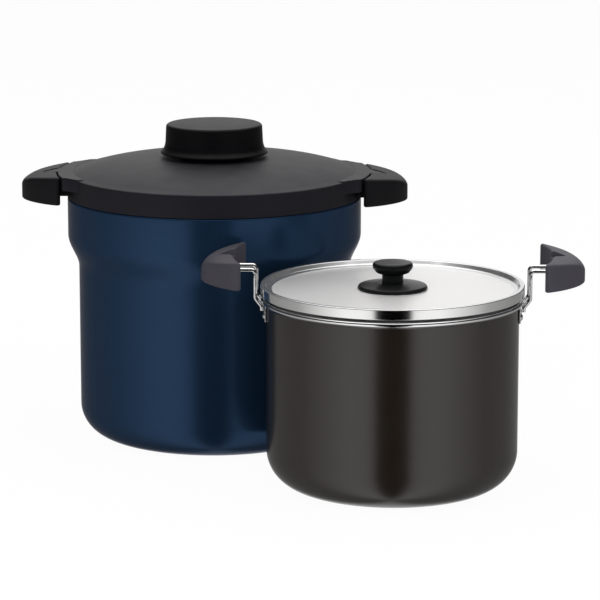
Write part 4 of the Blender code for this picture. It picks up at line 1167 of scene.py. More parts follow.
@dataclass(frozen=True)
class Palette:
    """Every finish of the set."""

    shell: Finish = MetallicPaint("navy_metallic_paint", "navy_paint", (0.0138, 0.0373, 0.081), 0.24,
                                  metallic=0.62, specular=0.40, edge=(0.45, 0.45, 0.50))
    resin: Finish = MattResin("black_matte_resin", "black_resin", (0.0062, 0.0060, 0.0088), 0.54,
                              specular=0.24, dust=0.04)
    cap: Finish = MattResin("black_cap_resin", "black_resin", (0.0022, 0.0023, 0.0028), 0.46,
                            specular=0.10, dust=0.03)
    handle: Finish = MattResin("black_handle_resin", "black_resin", (0.0038, 0.0039, 0.0048), 0.52,
                               specular=0.16, dust=0.03)
    knob: Finish = MattResin("black_knob_resin", "black_resin", (0.0034, 0.0038, 0.0040), 0.36,
                             specular=0.16, dust=0.04)
    grip: Finish = MattResin("grey_grip_resin", "grey_resin", (0.037, 0.0345, 0.0445), 0.55,
                             specular=0.30, dust=0.05)
    coating: Finish = PotCoating("dark_pot_coating", "brown_coating", (0.0100, 0.0064, 0.0040), 0.22,
                                 specular=0.72)
    polished: Finish = TurnedSteel("polished_steel", "polished_steel", (0.90, 0.90, 0.90), 0.07,
                                   metallic=1.0, line_sheen=0.03, tarnish_share=0.08)
    panel: Finish = TurnedSteel("satin_panel_steel", "polished_steel", (0.785, 0.777, 0.77), 0.37,
                                metallic=0.62, line_density=1100.0, line_sheen=0.08, tarnish_share=0.10)
    # The ring's steel is a little less polished than the band's. Its lower colour and metallic are painted
    # shade, standing in for the dim reflection that the ring shows.
    crest: Finish = TurnedSteel("ring_steel_painted_shade", "polished_steel", (0.66, 0.66, 0.665), 0.14,
                                metallic=0.82, line_sheen=0.05, tarnish_share=0.10)
    rim: Finish = TurnedSteel("polished_rim_steel", "brown_coating", (0.90, 0.90, 0.90), 0.09,
                              metallic=1.0, line_sheen=0.03, tarnish_share=0.08)
    inside: Finish = TurnedSteel("pot_inside_steel", "brown_coating", (0.66, 0.65, 0.63), 0.30,
                                 metallic=1.0, line_density=1300.0, line_sheen=0.10)
    liner: Finish = TurnedSteel("liner_steel", "liner_steel", (0.62, 0.61, 0.59), 0.33,
                                metallic=1.0, line_density=1300.0, line_sheen=0.10)
    wire: Finish = PlatedSteel("bright_wire_steel", "bright_steel", (0.80, 0.80, 0.80), 0.12, metallic=1.0)
    screw: Finish = PlatedSteel("zinc_screw_steel", "zinc_steel", (0.60, 0.60, 0.61), 0.30, metallic=1.0)
    foam: Finish = OpenFoam("insulation_foam", "insulation_foam", (0.48, 0.48, 0.44), 0.92)
    getter: Finish = PressedPowder("getter_powder", "getter_alloy", (0.16, 0.15, 0.14), 0.6, metallic=0.7)


# Pieces


class SubAssembly:
    """A body of the set: it makes its pieces and puts them on their body."""

    body = Body.VESSEL
    axis_node = "outer_shell"

    def __init__(self, palette: Palette) -> None:
        """Finds the sub-assembly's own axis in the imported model.

        Args:
            palette: the finishes of the set.
        """
        low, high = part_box(self.axis_node)
        middle = (low + high) / 2
        self.at = Vector((middle.x, middle.y, 0.0))
        self.palette = palette

    def finish_piece(self, piece: Piece, finishes: Sequence[Finish], *nodes: str) -> None:
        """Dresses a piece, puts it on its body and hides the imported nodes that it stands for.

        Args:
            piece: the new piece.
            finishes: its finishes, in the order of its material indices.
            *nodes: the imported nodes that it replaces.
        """
        indices = [face.material_index for face in piece.data.polygons]
        piece.data.materials.clear()
        for finish in finishes:
            piece.data.materials.append(finish.material())
        for face, index in zip(piece.data.polygons, indices):
            face.material_index = min(index, len(finishes) - 1)
        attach(piece, self.body.value)
        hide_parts(*nodes)
        LOG.info("%s on %s, %d faces", piece.name, self.body.value, len(piece.data.polygons))

    def keep(self, finish: Finish, *nodes: str) -> None:
        """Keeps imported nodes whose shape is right, and gives them a finish as their only material.

        Args:
            finish: the finish.
            *nodes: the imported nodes.
        """
        for node in nodes:
            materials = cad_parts[node].data.materials
            materials.clear()
            materials.append(finish.material())
            LOG.info("%s kept from the packed model", node)

    def build(self) -> None:
        """Makes every piece of the sub-assembly."""
        raise NotImplementedError


CROWN_GENTLE = 0.47
CROWN_STEEP = 0.53
CROWN_POWER = 5


def fall(radius: float, inner: float, tip: float, drop: float) -> float:
    """How far a grip's crown has fallen at a distance from the axis.

    Args:
        radius: distance from the axis.
        inner: where the crown starts.
        tip: where it ends.
        drop: its whole fall.

    Returns:
        The fall at that distance.
    """
    share = max((radius - inner) / (tip - inner), 0.0)
    return drop * (CROWN_GENTLE * share + CROWN_STEEP * share**CROWN_POWER)


@dataclass
class GripForm:
    """The moulded form that the vessel's handles and the pot's grips share.

    Args:
        inner: radius of the concave inner face about the axis.
        tip: distance from the axis to the tip.
        half_width: half of its width along the rim.
        bottom: height of its under side.
        top: height of its top at the inner edge.
        drop: fall of the top from the inner edge to the tip.
        edge: rounding of its upper edge.
        notch_half: half the mouth of the pointed notch in its inner edge.
        notch_length: how far the notch reaches outwards.
        notch_floor: height of the notch's floor.
        notch_tip: rounding of the notch's point.
        lower_share: rounding of the lower edge, as a share of the upper one.
        length_power: how blunt the plan is at its tip.
        width_power: how full the plan is at its sides.
        plan_steps: stretches in the plan's outer and inner side.
        horn_round: rounding of the two ends beside the rim.
        horn_reach: how far from an end the curved sides start.
    """

    inner: float
    tip: float
    half_width: float
    bottom: float
    top: float
    drop: float
    edge: float = 0.0026
    notch_half: float = 0.0125
    notch_length: float = 0.0137
    notch_floor: float = 0.0
    notch_tip: float = 0.0012
    lower_share: float = 0.6
    length_power: float = 1.35
    width_power: float = 1.7
    plan_steps: int = 44
    horn_round: float = 0.0032
    horn_reach: float = 0.0056

    def height(self, x: float, y: float) -> float:
        """Height of the top over a place in the plan."""
        return self.top - fall(math.hypot(x, y), self.inner, self.tip, self.drop)

    def outline(self) -> Path:
        """The plan: a blunt wedge outside, an arc about the axis inside, and a round horn at each end.

        Returns:
            The plan of a form on the right.
        """
        root = chord_x(self.inner, self.half_width)
        length = self.tip - root
        outer = []
        for step in range(self.plan_steps + 1):
            share = math.sin(math.pi / 2 * step / self.plan_steps)
            width = (1 - share**self.length_power) ** (1 / self.width_power)
            if length * share > self.horn_reach:
                outer.append(Corner(root + length * share, self.half_width * width))
        upper = [Corner(root, self.half_width, self.horn_round), *outer]
        lower = [Corner(corner.x, -corner.y, corner.rounding) for corner in upper[-2::-1]]
        spread = math.degrees(math.asin(self.half_width / self.inner) - self.horn_reach / self.inner)
        face = arc((0.0, 0.0), self.inner, -spread, spread, self.plan_steps)
        inner = [Corner(*spot) for spot in face]
        return rounded(upper + lower + inner, closed=True)

    def build(self, name: str, side: Side, at: Vector) -> Piece:
        """Makes the moulding with its notch.

        Args:
            name: name of the piece.
            side: the side that it is on.
            at: foot of the axis.

        Returns:
            The moulding.
        """
        plan = mirrored(self.outline(), side)
        middle = (side.value * (self.inner + self.tip) / 2, 0.0)
        lower_edge = self.edge * self.lower_share
        grip = Pad(plan, self.bottom, self.height, lower_edge, self.edge, middle).build(name, at)
        reach = self.edge * 2
        mouth = self.notch_half * (self.notch_length + reach) / self.notch_length
        corners = [
            Corner(self.inner - reach, mouth),
            Corner(self.inner + self.notch_length, 0.0, self.notch_tip),
            Corner(self.inner - reach, -mouth),
        ]
        plan = mirrored(rounded(corners, closed=True), side)
        notch = slab(name + "_notch", plan, self.notch_floor, self.top + reach, at)
        return combine(grip, [notch], "DIFFERENCE")


@dataclass
class CrossScrew:
    """A pan-head screw with a cross recess, its head below and its shank above.

    Args:
        head: radius of the head.
        head_height: height of the head.
        shank: radius of the shank.
        length: whole length.
        tip: radius of the shank's end, as a share of the shank.
        face: radius of the head's flat face, as a share of the head.
        seat_round: rounding at the head's seat, as a share of its height.
        face_round: rounding at its face, likewise.
        arm: half the cross's length, as a share of the head.
        arm_half: half the width of its arms, likewise.
        depth: its depth, as a share of the head's height.
    """

    head: float
    head_height: float
    shank: float
    length: float
    tip: float = 0.45
    face: float = 0.94
    seat_round: float = 0.15
    face_round: float = 0.75
    arm: float = 0.56
    arm_half: float = 0.13
    depth: float = 0.6

    def build(self, name: str, foot: Vector) -> Piece:
        """Makes the screw.

        Args:
            name: name of the piece.
            foot: middle of the head's lower side.

        Returns:
            The screw.
        """
        corners = [
            Corner(0.0, self.length),
            Corner(self.shank * self.tip, self.length),
            Corner(self.shank, self.length - self.shank),
            Corner(self.shank, self.head_height),
            Corner(self.head, self.head_height, self.head_height * self.seat_round),
            Corner(self.head * self.face, 0.0, self.head_height * self.face_round),
            Corner(0.0, 0.0),
        ]
        screw = turned(name, rounded(corners), foot, SMALL_TURN)
        arm, half = self.head * self.arm, self.head * self.arm_half
        depth = self.head_height * self.depth
        tools = []
        for number, (x, y) in enumerate(((arm, half), (half, arm))):
            plan = [(-x, -y), (x, -y), (x, y), (-x, y)]
            tools.append(slab(f"{name}_slot_{number}", plan, -depth, depth, foot))
        return combine(screw, tools, "DIFFERENCE")


class VacuumVessel(SubAssembly):
    """The vessel: painted shell, steel liner, mouth collar and the two side handles."""

    body = Body.VESSEL
    axis_node = "outer_shell"

    @dataclass
    class Sizes:
        """Sizes of the vessel that its boxes don't give."""

        sheet: float = 0.0006
        lower_radius: float = 0.1156
        neck_radius: float = 0.1196
        neck_height: float = 0.0068
        ledge_round: float = 0.0015
        shoulder_top: float = 0.1735
        shoulder_bottom: float = 0.1455
        corner: float = 0.027
        foot_ring: float = 0.0166
        recess_depth: float = 0.003
        recess_run: float = 0.003
        liner_upper: float = 0.1140
        liner_lower: float = 0.1055
        liner_corner: float = 0.026
        collar_wall: float = 0.0020
        collar_top: float = 0.0025
        collar_lip: float = 0.008
        collar_round: float = 0.0008
        lug_half: float = 0.028
        lug_bottom: float = 0.2078
        lug_thickness: float = 0.0047
        lug_reach: float = 0.1480
        handle_inner: float = 0.1333
        notch_floor: float = 0.2146
        crown_drop: float = 0.0095
        pocket_gap: float = 0.0003
        gap: float = 0.0003
        bend_steps: int = 18
        lug_steps: int = 10
        screw_head: float = 0.21
        screw_shank: float = 0.46
        sink_depth: float = 0.25
        seal_top: float = 0.85
        seal_foot: float = 0.9

    size = Sizes()

    def __init__(self, palette: Palette) -> None:
        """Reads the boxes that the vessel's pieces fill.

        Args:
            palette: the finishes of the set.
        """
        super().__init__(palette)
        low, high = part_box("outer_shell")
        self.radius = (high.x - low.x) / 2
        self.neck_top = high.z
        self.ledge = high.z - self.size.neck_height

    def shell(self) -> None:
        """The painted shell: neck, ledge, wide wall, shoulder, narrow wall, foot ring and recess."""
        size = self.size
        foot = size.lower_radius - size.corner
        recess = foot - size.foot_ring
        bend = [Corner(*point) for point in arc((foot, size.corner), size.corner, 0, -90, size.bend_steps)]
        corners = [
            Corner(size.neck_radius, self.neck_top),
            Corner(size.neck_radius, self.ledge, size.ledge_round / 2),
            Corner(self.radius, self.ledge, size.ledge_round),
            *wave((self.radius, size.shoulder_top), (size.lower_radius, size.shoulder_bottom)),
            *bend,
            Corner(recess, 0.0, size.recess_run / 3),
            Corner(recess - size.recess_run, size.recess_depth, size.recess_run / 3),
            Corner(0.0, size.recess_depth),
        ]
        shell = turned("painted_shell", sheet(corners, size.sheet), self.at, closed=True)
        self.finish_piece(shell, [self.palette.shell], "outer_shell")

    def liner(self) -> None:
        """The bright liner: flange on the neck, wide mouth, shoulder and deep well."""
        size = self.size
        low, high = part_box("inner_liner")
        upper, lower = size.liner_upper + size.sheet, size.liner_lower + size.sheet
        corner = size.liner_corner + size.sheet
        flange = high.z - size.sheet
        corners = [
            Corner((high.x - low.x) / 2, flange),
            Corner(upper, flange, size.ledge_round),
            *wave((upper, size.shoulder_top), (lower, size.shoulder_bottom)),
            Corner(lower, low.z, corner),
            Corner(0.0, low.z),
        ]
        liner = turned("steel_liner", sheet(corners, size.sheet), self.at, closed=True)
        self.finish_piece(liner, [self.palette.liner], "inner_liner")

    def collar(self) -> None:
        """The resin collar over the mouth, with a lug on each side that carries a handle."""
        size = self.size
        _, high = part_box("mouth_collar")
        ceiling = high.z - size.collar_top
        lip_outer = size.liner_upper - size.gap
        lip_inner = lip_outer - size.collar_wall
        side_inner = size.neck_radius + size.gap
        side_outer = side_inner + size.collar_wall
        path = rounded([
            Corner(lip_inner, high.z, size.collar_round),
            Corner(side_outer, high.z, size.collar_round),
            Corner(side_outer, self.ledge + size.gap),
            Corner(side_inner, self.ledge + size.gap),
            Corner(side_inner, ceiling),
            Corner(lip_outer, ceiling),
            Corner(lip_outer, ceiling - size.collar_lip),
            Corner(lip_inner, ceiling - size.collar_lip, size.collar_wall / 3),
        ], closed=True)
        collar = turned("mouth_collar_moulding", path, self.at, closed=True)
        lugs = [self.lug(side) for side in Side]
        combine(collar, lugs, "UNION")
        self.finish_piece(collar, [self.palette.resin], "mouth_collar")

    def lug(self, side: Side) -> Piece:
        """One lug, a flat tongue that starts inside the collar's wall and ends inside its handle.

        Args:
            side: the side that it is on.

        Returns:
            The lug.
        """
        size = self.size
        root = size.neck_radius + size.gap + size.collar_wall / 2
        top = size.lug_bottom + size.lug_thickness
        spread = math.degrees(math.asin(size.lug_half / root))
        inner = arc((0.0, 0.0), root, -spread, spread, size.lug_steps)
        plan = mirrored([(size.lug_reach, size.lug_half), (size.lug_reach, -size.lug_half)] + inner, side)
        middle = (side.value * (root + size.lug_reach) / 2, 0.0)
        round_edge = size.collar_round / 2
        pad = Pad(plan, size.lug_bottom, lambda x, y: top, round_edge, round_edge, middle)
        return pad.build(f"lug_{side.word}", self.at)

    def handle(self, side: Side) -> None:
        """A side handle with its notch for the lid's ear and its pocket for the lug.

        Args:
            side: the side that it is on.
        """
        size = self.size
        node = f"vessel_handle_{side.word}"
        low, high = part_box(node)
        tip = max(abs(low.x - self.at.x), abs(high.x - self.at.x))
        form = GripForm(size.handle_inner, tip, (high.y - low.y) / 2, low.z, high.z, size.crown_drop,
                        notch_floor=size.notch_floor)
        handle = form.build(f"side_handle_{side.word}", side, self.at)
        wide = size.lug_half + size.pocket_gap
        plan = mirrored([
            (size.handle_inner - size.lug_half, -wide), (size.lug_reach + size.pocket_gap, -wide),
            (size.lug_reach + size.pocket_gap, wide), (size.handle_inner - size.lug_half, wide),
        ], side)
        floor = size.lug_bottom - size.pocket_gap
        roof = size.lug_bottom + size.lug_thickness + size.pocket_gap
        tools = [slab(f"pocket_{side.word}", plan, floor, roof, self.at)]
        for number in self.screws_of(side):
            tools.append(self.screw_sink(number))
        combine(handle, tools, "DIFFERENCE")
        self.finish_piece(handle, [self.palette.handle], node)

    @staticmethod
    def screws_of(side: Side) -> tuple[int, int]:
        """Numbers of the two screws that hold the handle of one side."""
        return (1, 2) if side is Side.LEFT else (3, 4)

    def screw_sink(self, number: int) -> Piece:
        """The round sink in a handle's under side that takes a screw's head.

        Args:
            number: the screw's number.

        Returns:
            The tool that cuts the sink.
        """
        low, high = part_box(f"vessel_handle_screw_{number}")
        middle = (low + high) / 2
        radius = (high.x - low.x) / 2 + self.size.gap
        depth = (high.z - low.z) * self.size.sink_depth
        path = [(0.0, depth), (radius, depth), (radius, -depth), (0.0, -depth)]
        return turned(f"sink_{number}", path, Vector((middle.x, middle.y, low.z)), SMALL_TURN)

    def screws(self) -> None:
        """The four cross-head screws under the handles."""
        size = self.size
        for number in range(1, 5):
            node = f"vessel_handle_screw_{number}"
            low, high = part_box(node)
            middle = (low + high) / 2
            radius, length = (high.x - low.x) / 2, high.z - low.z
            form = CrossScrew(radius, length * size.screw_head, radius * size.screw_shank, length)
            screw = form.build(f"handle_screw_{number}", Vector((middle.x, middle.y, low.z)))
            self.finish_piece(screw, [self.palette.screw], node)

    def seal(self) -> None:
        """The plug in the foot that closes the pumping hole."""
        low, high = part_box("evacuation_seal")
        radius, height = (high.x - low.x) / 2, self.size.recess_depth - low.z
        top = height * self.size.seal_top
        path = rounded([
            Corner(0.0, top),
            Corner(radius, top, radius / 10),
            Corner(radius * self.size.seal_foot, 0.0, radius / 6),
            Corner(0.0, 0.0),
        ])
        seal = turned("pumping_seal", path, Vector((self.at.x, self.at.y, low.z)), SMALL_TURN)
        self.finish_piece(seal, [self.palette.screw], "evacuation_seal")

    def build(self) -> None:
        """Makes the vessel's pieces."""
        self.shell()
        self.liner()
        self.collar()
        for side in Side:
            self.handle(side)
        self.screws()
        self.seal()
        self.keep(self.palette.getter, "vacuum_getter")


class VesselLid(SubAssembly):
    """The vessel's lid: domed cover with skirt and ears, under cover, foam and the wide knob."""

    body = Body.VESSEL_LID
    axis_node = "outer_shell"

    @dataclass
    class Sizes:
        """Sizes of the lid that its boxes don't give."""

        wall: float = 0.0022
        edge_round: float = 0.0018
        edge_top: float = 0.2251
        dome_power: float = 3.4
        skirt_bottom: float = 0.2060
        ear_bottom: float = 0.2150
        ear_gap: float = 0.0008
        ear_top_gap: float = 0.0002
        ear_round: float = 0.0007
        ear_overlap: float = 0.0050
        ear_flare: float = 0.0120
        ear_skin: float = 0.00015
        lug_half: float = 0.0290
        lug_top: float = 0.2135
        handle_inner: float = 0.1333
        handle_tip: float = 0.1640
        handle_top: float = 0.2262
        handle_half: float = 0.0447
        notch_half: float = 0.0125
        notch_length: float = 0.0137
        crown_drop: float = 0.0095
        under_wall: float = 0.0020
        pan_radius: float = 0.1085
        pan_step: float = 0.0015
        pan_rise: float = 0.0022
        knob_top: float = 0.0406
        knob_waist: float = 0.0414
        knob_waist_z: float = 0.2500
        knob_flange_z: float = 0.2414
        knob_flange_edge: float = 0.0014
        knob_round: float = 0.0025
        waist_round: float = 0.010
        flare_reach: float = 0.30
        flare_rise: float = 0.75
        flare_round: float = 1.6
        stem: float = 0.0300
        dome_steps: int = 40
        ear_steps: int = 12

    size = Sizes()

    def __init__(self, palette: Palette) -> None:
        """Reads the boxes that the lid's pieces fill.

        Args:
            palette: the finishes of the set.
        """
        super().__init__(palette)
        low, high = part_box("outer_shell")
        self.radius = (high.x - low.x) / 2
        self.dome_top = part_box("lid_top_cover")[1].z

    def cover(self) -> None:
        """The domed cover, its skirt with the gaps for the lugs, and its two ears."""
        size = self.size
        edge = self.radius - size.edge_round
        spots = [edge * step / size.dome_steps for step in range(size.dome_steps)]
        dome = [Corner(spot, self.dome_height(spot)) for spot in spots]
        corners = [
            *dome,
            Corner(self.radius, size.edge_top, size.edge_round),
            Corner(self.radius, size.skirt_bottom),
        ]
        cover = turned("domed_cover", sheet(corners, size.wall), self.at, closed=True)
        inside = chord_x(self.radius - size.wall, size.lug_half) - size.wall
        outside, half = size.handle_tip, size.lug_half
        gap = [(inside, -half), (outside, -half), (outside, half), (inside, half)]
        floor = size.skirt_bottom - size.wall
        gaps = [slab(f"skirt_gap_{side.word}", mirrored(gap, side), floor, size.lug_top, self.at)
                for side in Side]
        combine(cover, gaps, "DIFFERENCE")
        for side in Side:
            combine(cover, [self.ear(side)], "UNION")
            combine(cover, [self.tongue(side)], "UNION")
        self.finish_piece(cover, [self.palette.resin], "lid_top_cover")

    def dome_height(self, radius: float) -> float:
        """Height of the dome's top at a distance from the axis."""
        share = radius / (self.radius - self.size.edge_round)
        return self.size.edge_top + (self.dome_top - self.size.edge_top) * (1 - share**self.size.dome_power)

    def ear(self, side: Side) -> Piece:
        """An ear, which carries the dome's surface over the lid's edge and out to the handle.

        Args:
            side: the side that it is on.

        Returns:
            The ear.
        """
        size = self.size
        reach = size.handle_inner - size.ear_gap
        root = self.radius - size.wall / 2
        start = self.radius - size.ear_overlap
        steps = size.ear_steps
        spots = [reach + (start - reach) * step / steps for step in range(1, steps + 1)]
        crown = [Corner(spot, self.ear_height(spot)) for spot in spots]
        corners = [
            Corner(root, size.ear_bottom),
            Corner(reach, size.ear_bottom, size.ear_round),
            Corner(reach, self.ear_height(reach), size.ear_round),
            *crown,
            Corner(start, self.dome_height(start) - size.wall / 2),
            Corner(root, size.edge_top - size.wall / 2),
        ]
        ring = turned(f"ear_{side.word}", rounded(corners, closed=True), self.at, closed=True)
        wide = size.handle_half + size.ear_flare
        flank = [(chord_x(start, wide) - size.wall, wide)]
        for step in range(steps + 1):
            share = step / steps
            half = size.handle_half + size.ear_flare * (1 - share) ** 2
            flank.append((chord_x(self.radius + (reach - self.radius) * share, half), half))
        flank.append((reach + size.wall, size.handle_half))
        plan = mirrored([(x, -y) for x, y in flank] + flank[::-1], side)
        trim = slab(f"ear_trim_{side.word}", plan, size.ear_bottom - size.wall, self.dome_top, self.at)
        return soften(combine(ring, [trim], "INTERSECT"), size.ear_round / 2)

    def tongue(self, side: Side) -> Piece:
        """The pointed tongue of an ear, which lies in the handle's notch.

        Args:
            side: the side that it is on.

        Returns:
            The tongue.
        """
        size = self.size
        reach = size.handle_inner - size.ear_gap
        mouth = reach * math.sin(math.asin(size.notch_half / reach) - size.ear_gap / reach)
        tip = size.handle_inner + size.notch_length - 2 * size.ear_gap
        inside = reach - size.ear_gap * 3
        spread = mouth * (tip - inside) / (tip - chord_x(reach, mouth))
        corners = [Corner(inside, spread), Corner(tip, 0.0, size.ear_round * 2), Corner(inside, -spread)]
        plan = mirrored(rounded(corners, closed=True), side)
        middle = (side.value * (inside + tip) / 2, 0.0)

        def top(x: float, y: float) -> float:
            """Height just below the ear's own surface, so that the two never lie in one plane."""
            return self.ear_height(math.hypot(x, y)) - size.ear_top_gap / 2

        pad = Pad(plan, size.ear_bottom + size.ear_top_gap / 2, top, size.ear_round, size.ear_round, middle)
        return pad.build(f"tongue_{side.word}", self.at)

    def ear_height(self, radius: float) -> float:
        """Height of an ear's top, which runs from the dome down to the handle's top.

        Args:
            radius: distance from the axis.

        Returns:
            The height at that distance.
        """
        size = self.size
        start = self.radius - size.ear_overlap
        drop = fall(radius, size.handle_inner, size.handle_tip, size.crown_drop)
        level = size.handle_top - size.ear_top_gap - drop
        share = min(max((radius - start) / (size.handle_inner - start), 0.0), 1.0)
        return (self.dome_height(start) + size.ear_skin) * (1 - share) + level * share

    def under_cover(self) -> None:
        """The lower cover: a rim that lies on the collar round a raised pan."""
        size = self.size
        low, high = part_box("lid_under_cover")
        rim = (high.x - low.x) / 2
        corners = [
            Corner(rim, low.z + size.pan_rise + size.under_wall),
            Corner(rim, low.z, size.under_wall / 2),
            Corner(size.pan_radius + size.pan_step, low.z, size.pan_step / 2),
            Corner(size.pan_radius, low.z + size.pan_rise, size.pan_step / 2),
            Corner(0.0, low.z + size.pan_rise),
        ]
        cover = turned("under_cover_moulding", sheet(corners, size.under_wall), self.at, closed=True)
        self.finish_piece(cover, [self.palette.resin], "lid_under_cover")

    def knob(self) -> None:
        """The wide knob: flat top, drafted wall, flared flange and a stem below."""
        size = self.size
        low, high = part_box("lid_knob")
        flange = (high.x - low.x) / 2
        flange_top = size.knob_flange_z + size.knob_flange_edge
        flare = flange - size.knob_waist
        flare_spot = (size.knob_waist + flare * size.flare_reach, flange_top + flare * size.flare_rise)
        path = rounded([
            Corner(0.0, high.z),
            Corner(size.knob_top, high.z, size.knob_round),
            Corner(size.knob_waist, size.knob_waist_z, size.waist_round),
            Corner(*flare_spot, flare * size.flare_round),
            Corner(flange, flange_top, size.knob_flange_edge / 2),
            Corner(flange, size.knob_flange_z, size.knob_flange_edge / 2),
            Corner(size.stem, size.knob_flange_z, size.knob_round),
            Corner(size.stem, low.z),
            Corner(0.0, low.z),
        ])
        knob = turned("wide_knob", path, self.at)
        self.finish_piece(knob, [self.palette.cap], "lid_knob")

    def build(self) -> None:
        """Makes the lid's pieces."""
        self.cover()
        self.under_cover()
        self.knob()
        self.keep(self.palette.foam, "lid_insulation")
        self.keep(self.palette.screw, *[f"lid_knob_screw_{number}" for number in (1, 2, 3)])


class CookingPot(SubAssembly):
    """The pot: rolled bright rim, dark coated wall, brackets, rivets, wire handles and resin grips."""

    body = Body.POT
    axis_node = "pot_body"

    @dataclass
    class Sizes:
        """Sizes of the pot that its boxes don't give."""

        inner_radius: float = 0.1000
        wall: float = 0.0008
        base: float = 0.0035
        corner: float = 0.030
        bead: float = 0.0040
        flare: float = 0.0055
        plate: float = 0.0012
        plate_gap: float = 0.0003
        plate_corner: float = 0.0030
        rivet_height: float = 0.1395
        rivet_angle: float = math.pi / 32
        rivet_head: float = 0.0033
        rivet_inner_head: float = 0.0036
        wire: float = 0.0016
        leg: float = 0.0100
        wire_end: float = 0.1437
        weld_top: float = 0.1468
        riser: float = 0.1088
        riser_bottom: float = 0.1535
        run: float = 0.1765
        loop: float = 0.1420
        bend: float = 0.0034
        grip_inner: float = 0.1268
        crown_drop: float = 0.0105
        notch_length: float = 0.0110
        notch_depth: float = 0.0050
        gap: float = 0.0003
        throat_in: float = 0.6
        throat_down: float = 0.1
        bead_margin: float = 0.3
        bead_end: float = -95.0
        rivet_face: float = 0.72
        rivet_round: float = 0.9
        inner_steps: int = 16
        bead_steps: int = 14
        bend_steps: int = 18

    size = Sizes()

    def __init__(self, palette: Palette) -> None:
        """Reads the box that the pot fills.

        Args:
            palette: the finishes of the set.
        """
        super().__init__(palette)
        low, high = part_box("pot_body")
        self.rim = (high.x - low.x) / 2
        self.height = high.z
        self.outer_wall = self.size.inner_radius + self.size.wall

    def vessel(self) -> None:
        """The pot itself, in three finishes: bright bead, dark coating, and steel on the inner wall."""
        size = self.size
        bead = size.bead / 2
        flare = self.height - size.flare
        inner_corner = size.corner - size.wall
        inner_centre = (size.inner_radius - inner_corner, size.base + inner_corner)
        inner = arc(inner_centre, inner_corner, -90, 0, size.inner_steps)
        mouth = rounded([
            Corner(size.inner_radius, size.base + size.corner),
            Corner(size.inner_radius, flare, size.flare),
            Corner(self.rim - size.bead, self.height - bead / 2, size.flare / 2),
            Corner(self.rim - size.bead + bead / 2, self.height),
        ])
        rim = arc((self.rim - bead, self.height - bead), bead, 90, size.bead_end, size.bead_steps)
        throat_top = (self.rim - size.bead + bead * size.throat_in,
                      self.height - size.bead - bead * size.throat_down)
        throat = rounded([
            Corner(*throat_top, bead / 2),
            Corner(self.outer_wall, flare, size.flare / 2),
            Corner(self.outer_wall, size.corner),
        ])
        bend_x = self.outer_wall - size.corner
        bend = arc((bend_x, size.corner), size.corner, 0, -90, size.bend_steps)
        path = [(0.0, size.base)] + inner + mouth[1:-1] + rim + throat[:-1] + bend + [(0.0, 0.0)]
        around_bead = size.bead + bead * size.bead_margin

        def zone(radius: float, height: float) -> int:
            """Tells the pot's finishes apart.

            Args:
                radius: distance of a stretch from the axis.
                height: its height.

            Returns:
                0 for the coating, also on the inner floor, 1 for the bead and 2 for the inner wall.
            """
            if height > self.height - around_bead and radius > self.rim - around_bead:
                return 1
            if height > flare:
                inside = radius < self.outer_wall
            elif height > size.corner:
                inside = radius < size.inner_radius + size.wall / 2
            else:
                inside = math.hypot(radius - bend_x, height - size.corner) < inner_corner + size.wall / 2
            return 2 if inside else 0

        pot = turned("pot_shell", path, self.at, zone=zone)
        self.finish_piece(pot, [self.palette.coating, self.palette.rim, self.palette.inside], "pot_body")

    def bracket(self, side: Side) -> None:
        """A bracket plate, bent to the wall, with round corners.

        Args:
            side: the side that it is on.
        """
        size = self.size
        node = f"pot_bracket_{side.word}"
        low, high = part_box(node)
        half = (high.y - low.y) / 2
        inner = self.outer_wall + size.plate_gap
        plan = rounded([
            Corner(half, high.z, size.plate_corner), Corner(-half, high.z, size.plate_corner),
            Corner(-half, low.z, size.plate_corner), Corner(half, low.z, size.plate_corner),
        ], closed=True)

        def bend(spot: Vector) -> Vector:
            """Wraps the flat plate round the pot's wall.

            Args:
                spot: a point of the flat plate.

            Returns:
                Its place on the wall.
            """
            angle = spot.x / inner
            radius = inner + spot.z
            return Vector((side.value * radius * math.cos(angle), radius * math.sin(angle), spot.y))

        middle = (0.0, (low.z + high.z) / 2)
        pad = Pad(plan, 0.0, lambda x, y: size.plate, size.plate / 6, size.plate / 3, middle)
        plate = pad.build(f"bracket_plate_{side.word}", self.at, bend)
        self.finish_piece(plate, [self.palette.wire], node)

    def rivets(self) -> None:
        """Two domed rivets through each bracket, with flat heads inside the pot."""
        size = self.size
        number = 0
        seat = self.outer_wall + size.plate_gap + size.plate - size.gap
        inner_seat = size.inner_radius * math.cos(size.rivet_angle) - size.gap
        for side in Side:
            for along in (-1, 1):
                number += 1
                node = f"pot_rivet_{number}"
                low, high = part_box(node)
                head_top = max(abs(low.x - self.at.x), abs(high.x - self.at.x))
                path = rounded([
                    Corner(0.0, head_top),
                    Corner(size.rivet_head * size.rivet_face, head_top, size.rivet_head * size.rivet_round),
                    Corner(size.rivet_head, seat),
                    Corner(size.rivet_head / 2, seat),
                    Corner(size.rivet_head / 2, inner_seat),
                    Corner(size.rivet_inner_head, inner_seat),
                    Corner(size.rivet_inner_head, inner_seat - size.gap * 2, size.gap),
                    Corner(0.0, inner_seat - size.gap * 2),
                ])
                rivet = turned(f"rivet_{number}", path, Vector((0.0, 0.0, 0.0)), SMALL_TURN)
                outward = Vector((side.value * math.cos(size.rivet_angle),
                                  along * math.sin(size.rivet_angle), 0.0))
                rivet.data.transform(outward.to_track_quat("Z", "Y").to_matrix().to_4x4())
                rivet.location = self.at + Vector((0.0, 0.0, size.rivet_height))
                self.finish_piece(rivet, [self.palette.wire], node)

